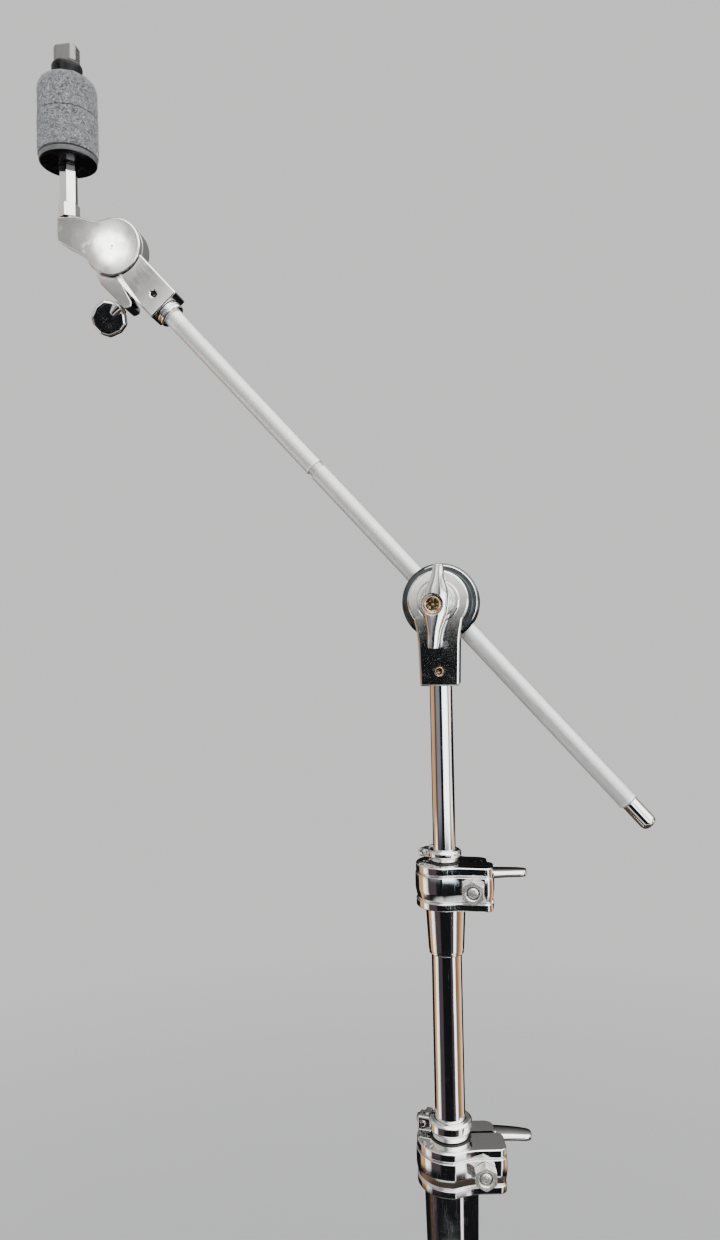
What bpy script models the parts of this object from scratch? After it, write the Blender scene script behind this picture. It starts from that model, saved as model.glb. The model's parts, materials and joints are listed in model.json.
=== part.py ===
"""Boom cymbal stand with a folding double-braced tripod.

Metres, +Z up. The stand's pole is the Z axis, the floor is z = 0 and the boom's
plane is parallel to XZ, a little behind the pole. The boom leans towards -X.
"""
import math

import bmesh
import bpy
from mathutils import Matrix

MM = 0.001
GAP = 0.3 * MM
ORIGIN = (0.0, 0.0, 0.0)
LEVEL = (0.0, 0.0, 0.0)
ROUND = 20
LARGE_ROUND = 28
SMALL_ROUND = 14
TINY_ROUND = 10
MERGE = 0.00005

# Turns that lay a piece's own Z axis along a world axis.
TOWARDS_FRONT = (math.radians(90), 0.0, 0.0)
TOWARDS_BACK = (math.radians(-90), 0.0, 0.0)
TOWARDS_RIGHT = (0.0, math.radians(90), 0.0)
TOWARDS_LEFT = (0.0, math.radians(-90), 0.0)

# Telescoping tubes.
BASE_TUBE_RADIUS = 12.7 * MM
BASE_TUBE_WALL = 1.5 * MM
BASE_TUBE_BOTTOM = 7 * MM
BASE_TUBE_TOP = 641.5 * MM
MIDDLE_TUBE_RADIUS = 9.525 * MM
MIDDLE_TUBE_WALL = 1.2 * MM
MIDDLE_TUBE_BOTTOM = 360 * MM
MIDDLE_TUBE_TOP = 814 * MM
UPPER_TUBE_RADIUS = 7.15 * MM
UPPER_TUBE_WALL = 1.2 * MM
UPPER_TUBE_BOTTOM = 600 * MM
UPPER_TUBE_TOP = 974 * MM

# Boom clamp at the top of the pole.
DRUM_HEIGHT = 1006 * MM
BOOM_PLANE = 23 * MM
BRACKET_FRONT = -12 * MM
BRACKET_BACK = 11.7 * MM
BRACKET_DISC_RADIUS = 19.3 * MM
BRACKET_BOTTOM = 952.6 * MM
DRUM_RADIUS = 25.2 * MM
DRUM_THICKNESS = 21.4 * MM
EYE_BOLT_RADIUS = 3.8 * MM

# Boom, measured along its own axis from the drum.
BOOM_LEAN = math.radians(41.8)
BOOM_RADIUS = 6.5 * MM
BOOM_BORE = 4.5 * MM
BOOM_TOP = 298 * MM
BOOM_BOTTOM = -175 * MM
BOOM_END = -195 * MM
BOOM_GROOVE = 123.5 * MM
ROLL_PIN = (1.2 * MM, 0.0, 291 * MM)

# Tilter and cymbal seat.
TILTER_ALONG = 336.4 * MM
TILTER_SIDE = 2.8 * MM
TILTER_DISC_RADIUS = 20.3 * MM
ROD_OFFSET = -34.2 * MM
ROD_DEPTH = -5 * MM
ARM_TOP = 24.5 * MM
ARM_FRONT = -11 * MM
ARM_DISC_BACK = -5.3 * MM
FELT_RADIUS = 20.9 * MM
FELT_HEIGHT = 27.0 * MM

# Folding tripod: each leg and its brace form an equal-sided triangle with the pole.
LEG_AZIMUTHS = (180, 60, 300)
LEG_LENGTH = 420 * MM
LEG_TIP = 18 * MM
BRACE_LENGTH = 190 * MM
LEG_ANGLE = math.radians(55)
PIVOT_RADIUS = 26 * MM
HUB_PIVOT_HEIGHT = 23 * MM
COLLAR_PIVOT_HEIGHT = HUB_PIVOT_HEIGHT + 2 * BRACE_LENGTH * math.cos(LEG_ANGLE)

# Finishes: colour, metallic, roughness.
CHROME = ((0.62, 0.62, 0.63), 1.0, 0.07)
SATIN = ((0.80, 0.80, 0.80), 1.0, 0.30)
STEEL = ((0.55, 0.55, 0.55), 1.0, 0.25)
BLACK_GLOSS = ((0.012, 0.012, 0.013), 0.0, 0.18)
BLACK_NYLON = ((0.02, 0.02, 0.02), 0.0, 0.45)
NUT_GREY = ((0.10, 0.10, 0.11), 0.3, 0.40)
FELT = ((0.17, 0.17, 0.18), 0.0, 0.95)
RUBBER = ((0.02, 0.02, 0.02), 0.0, 0.75)


# ---------------------------------------------------------------- helpers

def clear_scene():
    for item in list(bpy.data.objects):
        bpy.data.objects.remove(item, do_unlink=True)


def new_collection(name):
    group = bpy.data.collections.new(name)
    bpy.context.scene.collection.children.link(group)
    return group


def new_material(name, look):
    colour, metallic, roughness = look
    material = bpy.data.materials.new(name + "_finish")
    material.use_nodes = True
    shader = material.node_tree.nodes["Principled BSDF"]
    shader.inputs["Base Color"].default_value = (*colour, 1.0)
    shader.inputs["Metallic"].default_value = metallic
    shader.inputs["Roughness"].default_value = roughness
    return material


def add(name, mesh, look, parent, at, turn):
    """Put a mesh in the scene. A look of None makes it a tool for cuts and joins."""
    piece = bpy.data.objects.new(name, mesh)
    if look is None:
        TOOLS.objects.link(piece)
        piece.hide_render = True
        piece.display_type = "WIRE"
    else:
        STAND.objects.link(piece)
        mesh.materials.append(new_material(name, look))
    piece.parent = parent
    piece.location = at
    piece.rotation_euler = turn
    return piece


def frame(name, at, turn=LEVEL, parent=None):
    """An empty on a joint's axis, which carries the pieces of one moving body."""
    empty = bpy.data.objects.new(name, None)
    STAND.objects.link(empty)
    empty.parent = parent
    empty.location = at
    empty.rotation_euler = turn
    empty.empty_display_size = 0.01
    return empty


def turned(name, profile, look, parent=None, at=ORIGIN, turn=LEVEL, steps=ROUND, hollow=False):
    """A turned piece. The profile of (radius, height) runs down the outer side."""
    mesh = bpy.data.meshes.new(name)
    points = [(radius, 0.0, height) for radius, height in profile]
    edges = [(i, i + 1) for i in range(len(points) - 1)]
    if hollow:
        edges.append((len(points) - 1, 0))
    mesh.from_pydata(points, edges, [])
    piece = add(name, mesh, look, parent, at, turn)
    screw = piece.modifiers.new("turn", "SCREW")
    screw.axis = "Z"
    screw.steps = steps
    screw.render_steps = steps
    screw.use_merge_vertices = True
    screw.merge_threshold = MERGE
    screw.use_smooth_shade = True
    return piece


def tube(name, radius, bore, low, high, look, parent=None, at=ORIGIN, turn=LEVEL, steps=ROUND):
    profile = [(radius, high), (radius, low), (bore, low), (bore, high)]
    return turned(name, profile, look, parent, at, turn, steps, hollow=True)


def prism(name, radius, low, high, look, parent=None, at=ORIGIN, turn=LEVEL, sides=ROUND):
    """A cylinder or a many-sided bar from low to high along its own Z.

    A cutter's flats lie on its radius, and its corners fall between those of a turned piece.
    """
    mesh = bpy.data.meshes.new(name)
    shape = bmesh.new()
    place = Matrix.Translation((0.0, 0.0, (low + high) / 2))
    if look is None:
        place = place @ Matrix.Rotation(math.pi / (2 * sides), 4, "Z")
        radius = radius / math.cos(math.pi / sides)
    bmesh.ops.create_cone(shape, cap_ends=True, segments=sides, radius1=radius,
                          radius2=radius, depth=high - low, matrix=place)
    shape.to_mesh(mesh)
    shape.free()
    mesh.shade_smooth()
    mesh.set_sharp_from_angle(angle=math.radians(35))
    return add(name, mesh, look, parent, at, turn)


def box(name, low, high, look, parent=None, at=ORIGIN, turn=LEVEL):
    """A box between two corners."""
    mesh = bpy.data.meshes.new(name)
    shape = bmesh.new()
    centre = [(a + b) / 2 for a, b in zip(low, high)]
    size = [b - a for a, b in zip(low, high)]
    matrix = Matrix.Translation(centre) @ Matrix.Diagonal((*size, 1.0))
    bmesh.ops.create_cube(shape, size=1.0, matrix=matrix)
    shape.to_mesh(mesh)
    shape.free()
    return add(name, mesh, look, parent, at, turn)


def plate(name, outline, thickness, look, parent=None, at=ORIGIN, turn=LEVEL):
    """A flat outline in its own XY plane, thickened equally to both sides."""
    curve = bpy.data.curves.new(name, "CURVE")
    curve.dimensions = "2D"
    curve.fill_mode = "BOTH"
    curve.extrude = thickness / 2
    spline = curve.splines.new("POLY")
    spline.points.add(len(outline) - 1)
    for point, (x, y) in zip(spline.points, outline):
        point.co = (x, y, 0.0, 1.0)
    spline.use_cyclic_u = True
    shape = bpy.data.objects.new(name + "_outline", curve)
    STAND.objects.link(shape)
    graph = bpy.context.evaluated_depsgraph_get()
    mesh = bpy.data.meshes.new_from_object(shape.evaluated_get(graph))
    bpy.data.objects.remove(shape, do_unlink=True)
    weld = bmesh.new()
    weld.from_mesh(mesh)
    bmesh.ops.remove_doubles(weld, verts=weld.verts, dist=MERGE)
    bmesh.ops.recalc_face_normals(weld, faces=weld.faces)
    weld.to_mesh(mesh)
    weld.free()
    mesh.shade_smooth()
    mesh.set_sharp_from_angle(angle=math.radians(35))
    return add(name, mesh, look, parent, at, turn)


def loft(name, rings, look, parent=None, at=ORIGIN, turn=LEVEL):
    """A closed skin over rings that have the same number of corners."""
    mesh = bpy.data.meshes.new(name)
    shape = bmesh.new()
    loops = []
    for ring in rings:
        corners = [shape.verts.new(corner) for corner in ring]
        loops.append([shape.edges.new((corners[i - 1], corners[i])) for i in range(len(corners))])
    for first, second in zip(loops, loops[1:]):
        bmesh.ops.bridge_loops(shape, edges=first + second)
    for end in (loops[0], loops[-1]):
        bmesh.ops.contextual_create(shape, geom=end)
    bmesh.ops.recalc_face_normals(shape, faces=shape.faces)
    shape.to_mesh(mesh)
    shape.free()
    mesh.shade_smooth()
    mesh.set_sharp_from_angle(angle=math.radians(35))
    return add(name, mesh, look, parent, at, turn)


def arc(radius, start, end, count, centre=(0.0, 0.0)):
    """Points on an arc, angles in degrees."""
    points = []
    for i in range(count + 1):
        angle = math.radians(start + (end - start) * i / count)
        points.append((centre[0] + radius * math.cos(angle), centre[1] + radius * math.sin(angle)))
    return points


def soften(piece, width, segments=2):
    bevel = piece.modifiers.new("edges", "BEVEL")
    bevel.width = width
    bevel.segments = segments
    bevel.limit_method = "ANGLE"
    bevel.angle_limit = math.radians(40)
    return piece


def cut(piece, tool):
    change = piece.modifiers.new("cut", "BOOLEAN")
    change.operation = "DIFFERENCE"
    change.object = tool


def join(piece, tool):
    change = piece.modifiers.new("join", "BOOLEAN")
    change.operation = "UNION"
    change.object = tool


# ---------------------------------------------------------------- shared fastener shapes

def oblong(x, half_y, low, high):
    """Eight corners of a rounded section in a plane of constant x."""
    middle = (low + high) / 2
    half = (high - low) / 2
    corner = 0.55
    return [
        (x, half_y, middle - half * corner), (x, half_y, middle + half * corner),
        (x, half_y * corner, high), (x, -half_y * corner, high),
        (x, -half_y, middle + half * corner), (x, -half_y, middle - half * corner),
        (x, -half_y * corner, low), (x, half_y * corner, low),
    ]


def arc_ring(radius, height, x=0.0, y=0.0):
    """A ring of corners round a centre, at one height."""
    return [(*corner, height) for corner in arc(radius, 0, 360 - 360 / ROUND, ROUND - 1, (x, y))]


def wing_cage(name, reach_plus, reach_minus, depth, thickness, look, parent, at, turn, flare=1.15):
    """Two wings along X, swept forward along Z, thin in Y and wider by flare near the hub."""
    half = thickness / 2
    stations = [
        (-1.0, 0.70, 0.62, 0.90), (-0.93, 0.95, 0.48, 1.0), (-0.62, 1.0, 0.38, 0.98),
        (-0.28, flare, 0.18, 0.86), (0.0, 1.3, 0.08, 0.74), (0.28, flare, 0.18, 0.86),
        (0.62, 1.0, 0.38, 0.98), (0.93, 0.95, 0.48, 1.0), (1.0, 0.70, 0.62, 0.90),
    ]
    rings = []
    for share, thick, low, high in stations:
        x = share * (reach_plus if share > 0 else reach_minus)
        rings.append(oblong(x, half * thick, low * depth, high * depth))
    return loft(name, rings, look, parent, at, turn)


def wing_bolt(name, shank, length, hub, hub_length, reach, depth, thickness, parent, at, turn):
    """A bolt along -Z from its seat at z = 0, with a round hub and two wings."""
    profile = [
        (0.0, hub_length), (hub * 0.62, hub_length), (hub * 0.86, hub_length - 1.2 * MM),
        (hub, hub_length - 4 * MM), (hub, 1 * MM), (hub - 1 * MM, 0.0), (shank, 0.0),
        (shank, -length + 0.8 * MM), (shank - 0.8 * MM, -length), (0.0, -length),
    ]
    bolt = turned(name, profile, CHROME, parent, at, turn, SMALL_ROUND)
    wings = wing_cage(name + "_wings", reach, reach, depth, thickness, None, parent, at, turn)
    join(bolt, wings)
    return bolt


def hex_nut(name, across_flats, thickness, bore, parent, at, turn):
    """A hexagon nut from z = 0 to its thickness, corners to both sides."""
    radius = across_flats / math.sqrt(3)
    nut = prism(name, radius, 0.0, thickness, CHROME, parent, at, turn, sides=6)
    nut.data.set_sharp_from_angle(angle=math.radians(20))
    crown = turned(name + "_crown", [
        (0.0, thickness + GAP), (radius * 0.88, thickness + GAP), (radius * 1.12, thickness - 1.6 * MM),
        (radius * 1.12, -GAP), (0.0, -GAP),
    ], None, parent, at, turn, SMALL_ROUND)
    shape = nut.modifiers.new("crown", "BOOLEAN")
    shape.operation = "INTERSECT"
    shape.object = crown
    cut(nut, prism(name + "_bore", bore, -1 * MM, thickness + 1 * MM, None, parent, at, turn, TINY_ROUND))
    return nut


# ---------------------------------------------------------------- height clamps

def clamp_outline(body, reach, front, grow):
    """Plan of a clamp casting: a round back with ears towards +X."""
    back = body * 0.78
    points = arc(body + grow, 62, 270, 13)
    points += [
        (body * 0.55, -front - grow), (reach - 3 * MM, -front - grow),
        (reach + grow, -front + 3 * MM), (reach + grow, 0.0),
        (reach - 4 * MM + grow, 3 * MM), (reach - 5 * MM, back - 3 * MM),
        (reach - 9 * MM, back + grow), (body * 0.6, back + grow),
    ]
    return points


def clamp_casting(name, body, reach, front, low, high, skirt_low, skirt_top, skirt_bottom,
                  bore, nut_x, parent, at, turn):
    """The banded clamp body with its skirt, bore, slit and bolt hole."""
    tall = high - low
    levels = [
        (0.0, -0.6 * MM), (0.03, 0.0), (0.15, 0.0), (0.19, -0.9 * MM), (0.26, 0.2 * MM),
        (0.5, 0.7 * MM), (0.74, 0.2 * MM), (0.81, -0.9 * MM), (0.85, 0.0), (0.97, 0.0),
        (1.0, -0.6 * MM),
    ]
    rings = []
    for share, grow in levels:
        height = low + share * tall
        rings.append([(x, y, height) for x, y in clamp_outline(body, reach, front, grow)])
    casting = loft(name, rings, CHROME, parent, at, turn)
    skirt = turned(name + "_skirt", [
        (0.0, low + 5 * MM), (skirt_top, low + 5 * MM), (skirt_top, low - 3 * MM),
        (skirt_bottom + 0.3 * MM, skirt_low + 3 * MM), (skirt_bottom, skirt_low + 2 * MM),
        (skirt_bottom, skirt_low), (0.0, skirt_low),
    ], None, parent, at, turn)
    join(casting, skirt)
    cut(casting, prism(name + "_bore", bore, skirt_low - 5 * MM, high + 5 * MM, None, parent, at, turn))
    slit_low = (body * 0.3, 1.8 * MM, low - 1 * MM)
    slit_high = (reach + 5 * MM, 4.0 * MM, high + 1 * MM)
    cut(casting, box(name + "_slit", slit_low, slit_high, None, parent, at, turn))
    middle = (low + high) / 2
    hole = frame(name + "_hole_axis", (nut_x, 0.0, middle), TOWARDS_FRONT, casting)
    cut(casting, prism(name + "_hole", 4.2 * MM, -40 * MM, 40 * MM, None, hole, sides=TINY_ROUND))
    return casting


def height_clamp(side, body, reach, front, low, high, skirt_low, skirt_top, skirt_bottom,
                 bore, nut_x, carrier, yaw, wing_reach, wing_drop):
    """One height clamp: casting, hexagon nut and wing bolt. Its angles are in degrees."""
    turn = (0.0, 0.0, math.radians(yaw))
    clamp_casting(side + "_clamp", body, reach, front, low, high, skirt_low, skirt_top,
                  skirt_bottom, bore, nut_x, carrier, ORIGIN, turn)
    axis = frame(side + "_clamp_axis", ORIGIN, turn, carrier)
    middle = (low + high) / 2
    face = front + 0.7 * MM + GAP
    hex_nut(side + "_clamp_nut", 13 * MM, 6.3 * MM, 4.15 * MM, axis,
            (nut_x, -face, middle), TOWARDS_FRONT)
    seat = body * 0.78 + 0.7 * MM + GAP
    wing_bolt(side + "_wing_bolt", 3.8 * MM, seat + face + 6 * MM, 7.2 * MM, 9 * MM,
              wing_reach, 22 * MM, 5.2 * MM, axis, (nut_x, seat, middle),
              (math.radians(-90), math.radians(wing_drop), 0.0))


def stop_collar(side, radius, bore, low, high, lug_turn, carrier):
    """A memory collar: a split ring with two lugs and a square-headed key screw."""
    name = side + "_stop_collar"
    turn = (0.0, 0.0, lug_turn)
    tall = high - low
    collar = turned(name, [
        (radius - 1.2 * MM, high), (radius, high - 1.2 * MM), (radius, low + tall * 0.45),
        (radius - 2 * MM, low + tall * 0.3), (radius - 2 * MM, low), (bore, low), (bore, high),
    ], CHROME, carrier, ORIGIN, turn, hollow=True)
    half = 4.6 * MM
    lug = soften(box(name + "_lug", (radius - 3 * MM, -half, low + 1 * MM),
                     (radius + 7 * MM, half, high - 1 * MM), None, carrier, ORIGIN, turn), 1.2 * MM, 1)
    join(collar, lug)
    cut(collar, box(name + "_slit", (bore * 0.5, -0.9 * MM, low - 1 * MM),
                    (radius + 10 * MM, 0.9 * MM, high + 1 * MM), None, carrier, ORIGIN, turn))
    axis = frame(name + "_screw_axis", ORIGIN, turn, carrier)
    place = (radius + 3.2 * MM, 0.0, (low + high) / 2)
    cut(collar, prism(name + "_hole", 2.3 * MM, -9 * MM, 9 * MM, None, axis, place,
                      TOWARDS_FRONT, TINY_ROUND))
    seat = half + GAP
    rim = seat + 2.4 * MM
    screw = turned(side + "_stop_screw", [
        (0.0, rim), (2.9 * MM, rim), (3.3 * MM, rim - 0.5 * MM), (3.3 * MM, seat),
        (2.0 * MM, seat), (2.0 * MM, -half - 0.5 * MM), (0.0, -half - 0.5 * MM),
    ], CHROME, axis, place, TOWARDS_FRONT, TINY_ROUND)
    head = box(side + "_stop_screw_head", (-2.1 * MM, -2.1 * MM, rim - 1 * MM),
               (2.1 * MM, 2.1 * MM, rim + 5 * MM), None, axis, place, TOWARDS_FRONT)
    join(screw, soften(head, 0.4 * MM, 1))


# ---------------------------------------------------------------- pole

def base_tube():
    tube("base_tube", BASE_TUBE_RADIUS, BASE_TUBE_RADIUS - BASE_TUBE_WALL, BASE_TUBE_BOTTOM,
         BASE_TUBE_TOP, CHROME)


def lower_section():
    """Fixed clamp on the base tube and the bush that the middle tube turns in."""
    low = 642 * MM
    high = 669 * MM
    height_clamp("lower", 21.2 * MM, 33 * MM, 17 * MM, low, high, 600 * MM, 16.9 * MM,
                 15.8 * MM, BASE_TUBE_RADIUS + GAP, 18.9 * MM, None, 9, 38.7 * MM, 10)
    tube("lower_bush", BASE_TUBE_RADIUS, MIDDLE_TUBE_RADIUS + GAP, low, high + 0.6 * MM,
         BLACK_NYLON)


def middle_section():
    """Sliding middle tube with the upper clamp and the lower stop collar."""
    tube("middle_tube", MIDDLE_TUBE_RADIUS, MIDDLE_TUBE_RADIUS - MIDDLE_TUBE_WALL,
         MIDDLE_TUBE_BOTTOM, MIDDLE_TUBE_TOP, CHROME)
    low = 814.5 * MM
    high = 841 * MM
    height_clamp("upper", 18.3 * MM, 30.5 * MM, 15.2 * MM, low, high, 784 * MM, 12.5 * MM,
                 10.9 * MM, MIDDLE_TUBE_RADIUS + GAP, 19 * MM, None, -2, 31.5 * MM, 1)
    tube("upper_bush", MIDDLE_TUBE_RADIUS - 0.2 * MM, UPPER_TUBE_RADIUS + GAP, low,
         high + 0.6 * MM, BLACK_NYLON)
    stop_collar("lower", 13.6 * MM, MIDDLE_TUBE_RADIUS + GAP, 670 * MM, 681 * MM,
                math.radians(168), None)


def upper_section():
    """Sliding upper tube with its stop collar."""
    tube("upper_tube", UPPER_TUBE_RADIUS, UPPER_TUBE_RADIUS - UPPER_TUBE_WALL,
         UPPER_TUBE_BOTTOM, UPPER_TUBE_TOP, CHROME)
    stop_collar("upper", 10.6 * MM, UPPER_TUBE_RADIUS + GAP, 842 * MM, 849 * MM,
                math.radians(150), None)


# ---------------------------------------------------------------- boom clamp

def boom_bracket():
    """Teardrop casting: a round face above a block that takes the upper tube."""
    outline = arc(BRACKET_DISC_RADIUS, -38, 218, 22)
    drop = BRACKET_BOTTOM - DRUM_HEIGHT
    outline += [(-13.6 * MM, -20 * MM), (-12.9 * MM, -27 * MM), (-12.15 * MM, drop),
                (12.15 * MM, drop), (12.9 * MM, -27 * MM), (13.6 * MM, -20 * MM)]
    middle = (BRACKET_FRONT + BRACKET_BACK) / 2
    bracket = plate("boom_bracket", outline, BRACKET_BACK - BRACKET_FRONT, CHROME, None,
                    (0.0, middle, DRUM_HEIGHT), TOWARDS_FRONT)
    soften(bracket, 1.4 * MM, 1)
    cut(bracket, prism("boom_bracket_bore", UPPER_TUBE_RADIUS + GAP, BRACKET_BOTTOM - 5 * MM,
                       UPPER_TUBE_TOP + GAP, None, sides=ROUND))
    cut(bracket, prism("boom_bracket_pivot_hole", EYE_BOLT_RADIUS + GAP, -30 * MM, 30 * MM, None,
                       None, (0.0, 0.0, DRUM_HEIGHT), TOWARDS_FRONT, SMALL_ROUND))
    screw_height = 962 * MM
    cut(bracket, prism("bracket_set_screw_hole", 3.2 * MM, 0.0, 30 * MM, None, None,
                       (0.0, -4 * MM, screw_height), TOWARDS_FRONT, SMALL_ROUND))
    front = 3.4 * MM
    screw = turned("bracket_set_screw", [
        (0.0, front), (2.3 * MM, front), (2.9 * MM, front - 0.6 * MM), (2.9 * MM, -0.4 * MM),
        (0.0, -0.4 * MM),
    ], STEEL, None, (0.0, -8 * MM, screw_height), TOWARDS_FRONT, SMALL_ROUND)
    cut(screw, prism("bracket_set_screw_socket", 1.5 * MM, front - 2 * MM, front + 2 * MM, None,
                     None, (0.0, -8 * MM, screw_height), TOWARDS_FRONT, 6))


def boom_drum(drum):
    """Drum behind the bracket, bored across for the boom, and its eye bolt."""
    half = DRUM_THICKNESS / 2
    body = turned("boom_drum", [
        (0.0, half), (DRUM_RADIUS - 2.2 * MM, half), (DRUM_RADIUS - 0.6 * MM, half - 0.9 * MM),
        (DRUM_RADIUS, half - 2.4 * MM), (DRUM_RADIUS, -half + 2.4 * MM),
        (DRUM_RADIUS - 0.6 * MM, -half + 0.9 * MM), (DRUM_RADIUS - 2.2 * MM, -half), (0.0, -half),
    ], CHROME, drum, ORIGIN, TOWARDS_FRONT, LARGE_ROUND)
    cut(body, prism("boom_drum_bore", BOOM_RADIUS + GAP, -40 * MM, 40 * MM, None, drum))
    cut(body, prism("boom_drum_eye_room", 9.8 * MM, -4.6 * MM, 4.6 * MM, None, drum))
    cut(body, prism("boom_drum_bolt_hole", EYE_BOLT_RADIUS + GAP, 0.0, 20 * MM, None, drum,
                    ORIGIN, TOWARDS_FRONT, SMALL_ROUND))
    tip = 46.5 * MM
    bolt = prism("drum_eye_bolt", EYE_BOLT_RADIUS, 7.5 * MM, tip, STEEL, drum, ORIGIN,
                 TOWARDS_FRONT, SMALL_ROUND)
    join(bolt, prism("drum_eye_bolt_eye", 9.2 * MM, -4 * MM, 4 * MM, None, drum))
    cut(bolt, prism("drum_eye_bolt_relief", BOOM_RADIUS + GAP, -9 * MM, 9 * MM, None, drum))
    turned("wing_washer", [
        (10.5 * MM, 2 * MM), (11 * MM, 1.5 * MM), (11 * MM, 0.0), (EYE_BOLT_RADIUS + GAP, 0.0),
        (EYE_BOLT_RADIUS + GAP, 2 * MM),
    ], CHROME, drum, (0.0, BRACKET_FRONT - BOOM_PLANE - GAP, 0.0), TOWARDS_FRONT, hollow=True)


def boom_wing(wing):
    """Wing nut in front of the bracket with a cross-head screw in its face."""
    face = 13.5 * MM
    slant = (-2.4 * MM, -2.8 * MM)
    rings = []
    for radius, height in ((7.2, 0.0), (7.8, 2.0), (8.4, 9.0), (8.4, 12.4), (7.6, 13.5)):
        share = height * MM / face
        rings.append(arc_ring(radius * MM, height * MM, slant[0] * share, slant[1] * share))
    nut = loft("boom_wing_nut", rings, CHROME, wing, ORIGIN, TOWARDS_FRONT)
    wings = wing_cage("boom_wing_nut_wings", 30 * MM, 21.5 * MM, 17 * MM, 7.4 * MM, None, wing,
                      ORIGIN, (math.radians(90), math.radians(90), 0.0), 1.7)
    join(nut, wings)
    centre = (slant[0], 0.0, slant[1])
    cut(nut, prism("boom_wing_nut_recess", 6.3 * MM, face - 2.2 * MM, face + 12 * MM, None, wing,
                   centre, TOWARDS_FRONT))
    cut(nut, prism("boom_wing_nut_bore", EYE_BOLT_RADIUS + GAP, -2 * MM, face - 1 * MM, None, wing,
                   ORIGIN, TOWARDS_FRONT, SMALL_ROUND))
    low = face - 1.9 * MM
    high = face + 0.2 * MM
    screw = turned("wing_cap_screw", [
        (0.0, high), (4.2 * MM, high), (5.6 * MM, high - 0.9 * MM), (5.9 * MM, low), (0.0, low),
    ], STEEL, wing, centre, TOWARDS_FRONT, ROUND)
    for index, (across, along) in enumerate(((3.4 * MM, 0.7 * MM), (0.7 * MM, 3.4 * MM))):
        cut(screw, box("wing_cap_screw_cross_%d" % (index + 1), (-across, -along, high - 1.4 * MM),
                       (across, along, high + 2 * MM), None, wing, centre, TOWARDS_FRONT))


# ---------------------------------------------------------------- boom

def boom_tube(boom):
    groove = BOOM_GROOVE
    profile = [
        (BOOM_RADIUS - 0.6 * MM, BOOM_TOP), (BOOM_RADIUS - 0.3 * MM, 276 * MM),
        (BOOM_RADIUS, 275 * MM), (BOOM_RADIUS, groove + 2.3 * MM),
        (BOOM_RADIUS - 1 * MM, groove + 1.8 * MM), (BOOM_RADIUS - 1 * MM, groove - 1.8 * MM),
        (BOOM_RADIUS, groove - 2.3 * MM), (BOOM_RADIUS, BOOM_BOTTOM + 0.5 * MM),
        (BOOM_RADIUS - 0.5 * MM, BOOM_BOTTOM), (BOOM_BORE, BOOM_BOTTOM), (BOOM_BORE, BOOM_TOP),
    ]
    body = turned("boom_tube", profile, SATIN, boom, hollow=True)
    cut(body, prism("boom_tube_pin_hole", 2.35 * MM, -20 * MM, 20 * MM, None, boom,
                    ROLL_PIN, TOWARDS_FRONT, TINY_ROUND))
    plug = BOOM_BORE - GAP
    turned("boom_end_rod", [
        (0.0, BOOM_BOTTOM + 18 * MM), (plug, BOOM_BOTTOM + 18 * MM), (plug, BOOM_BOTTOM - GAP),
        (5.4 * MM, BOOM_BOTTOM - GAP), (5.4 * MM, BOOM_END + 3 * MM), (4.6 * MM, BOOM_END + 1 * MM),
        (3.2 * MM, BOOM_END), (0.0, BOOM_END),
    ], CHROME, boom)


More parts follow.
